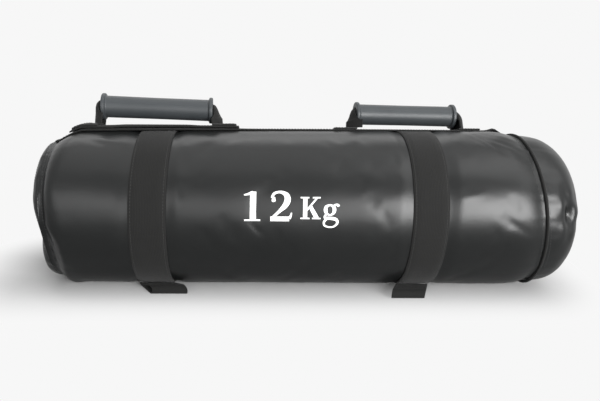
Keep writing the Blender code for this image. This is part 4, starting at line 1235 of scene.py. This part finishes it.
def backdropLook():
    # the floor as it is lit round the bag, which keeps its shadow, and even white further out; mirrors and clear
    # pieces see the real floor further than the camera does
    f = Finish("paleFloor")
    glow = f.node("ShaderNodeEmission", None, {"Color": (studio["white"],) * 3, "Strength": 1.0})
    where = f.objectCoords()
    x, y = (f.node("ShaderNodeSeparateXYZ", None, {0: where}, axis).math("ABSOLUTE") for axis in ("X", "Y"))
    dx, dy = (x - studio["footprint"][0]).math("MAXIMUM", 0.0), (y - studio["footprint"][1]).math("MAXIMUM", 0.0)
    away = (dx * dx + dy * dy).math("SQRT")
    rays = [f.node("ShaderNodeLightPath", output=name) for name in
            ("Is Camera Ray", "Is Glossy Ray", "Is Transmission Ray")]

    def fade(near, far):
        return f.node("ShaderNodeMapRange", {"interpolation_type": "SMOOTHSTEP"},
                      {"Value": away, "From Min": near, "From Max": far, "To Min": 0.0, "To Max": 1.0})

    share = rays[0] * fade(studio["near"], studio["far"])
    share = share + (rays[1] + rays[2]).math("MINIMUM", 1.0) * fade(studio["mirrorNear"], studio["mirrorFar"])
    speck = f.noise(where, 60.0, 2.0) * 0.04 + rays[0] * (studio["pale"] - studio["bounce"]) + (studio["bounce"] - 0.02)
    f.set(Base_Color=f.mix(speck, (0.0, 0.0, 0.0), (1.0, 1.0, 1.0)), Roughness=0.9)
    mixed = f.node("ShaderNodeMixShader", None, {0: share, 1: Socket(f, f.shader.outputs[0]), 2: glow})
    f.links.new(mixed.out, f.nodes["Material Output"].inputs[0])
    return f.material


floor = newPiece("floor", [(-6, -6, -0.0002), (6, -6, -0.0002), (6, 6, -0.0002), (-6, 6, -0.0002)], [(0, 1, 2, 3)],
                 backdropLook(), smooth=False)
world = bpy.data.worlds.new("studio")
bpy.context.scene.world = world
world.use_nodes = True
sky, rays = world.node_tree.nodes["Background"], world.node_tree.nodes.new("ShaderNodeLightPath")
seen = world.node_tree.nodes.new("ShaderNodeMix")
seen.data_type = "RGBA"
seen.inputs[6].default_value = (studio["white"],) * 3 + (1,)
seen.inputs[7].default_value = (studio["dome"],) * 3 + (1,)
world.node_tree.links.new(rays.outputs["Is Diffuse Ray"], seen.inputs[0])
world.node_tree.links.new(seen.outputs[2], sky.inputs[0])

lamps = {
    "frontWindow": {"at": (0.20, -1.75, 0.62), "aim": (0.1, 0, 0.09), "size": (2.2, 0.88), "power": 14.5},
    "leftWindow": {"at": (-0.95, -1.60, 0.95), "aim": (-0.2, 0, 0.09), "size": (0.9, 0.70), "power": 5.0},
    "rightWindow": {"at": (1.02, -1.55, 0.58), "aim": (0.2, 0, 0.09), "size": (1.15, 0.92), "power": 58.0},
    "backWindow": {"at": (-0.20, 1.45, 1.55), "aim": (0, 0, 0.09), "size": (2.2, 0.7), "power": 8.0},
    "rightSoftbox": {"at": (1.05, -0.35, 1.45), "aim": (0.2, 0, 0.05), "size": (0.9, 1.2), "power": 7.0},
    "topSoftbox": {"at": (0.10, -0.05, 1.70), "aim": (0.1, 0, 0.05), "size": (2.2, 1.4), "power": 9.0},
    "keyLamp": {"at": (-0.18, -0.20, 1.75), "aim": (0, 0, 0.05), "size": (0.55, 0.55), "power": 9.0, "mirrored": False},
}
for name, lamp in lamps.items():
    light = bpy.data.lights.new(name, "AREA")
    light.shape, light.size, light.size_y, light.energy = "RECTANGLE", *lamp["size"], lamp["power"]
    made = addObject(name, light)
    made.visible_glossy = lamp.get("mirrored", True)
    made.location = lamp["at"]
    made.rotation_euler = (Vector(lamp["aim"]) - Vector(lamp["at"])).to_track_quat("-Z", "Y").to_euler()
bpy.context.scene.view_settings.view_transform = "Standard"
print("studio set")
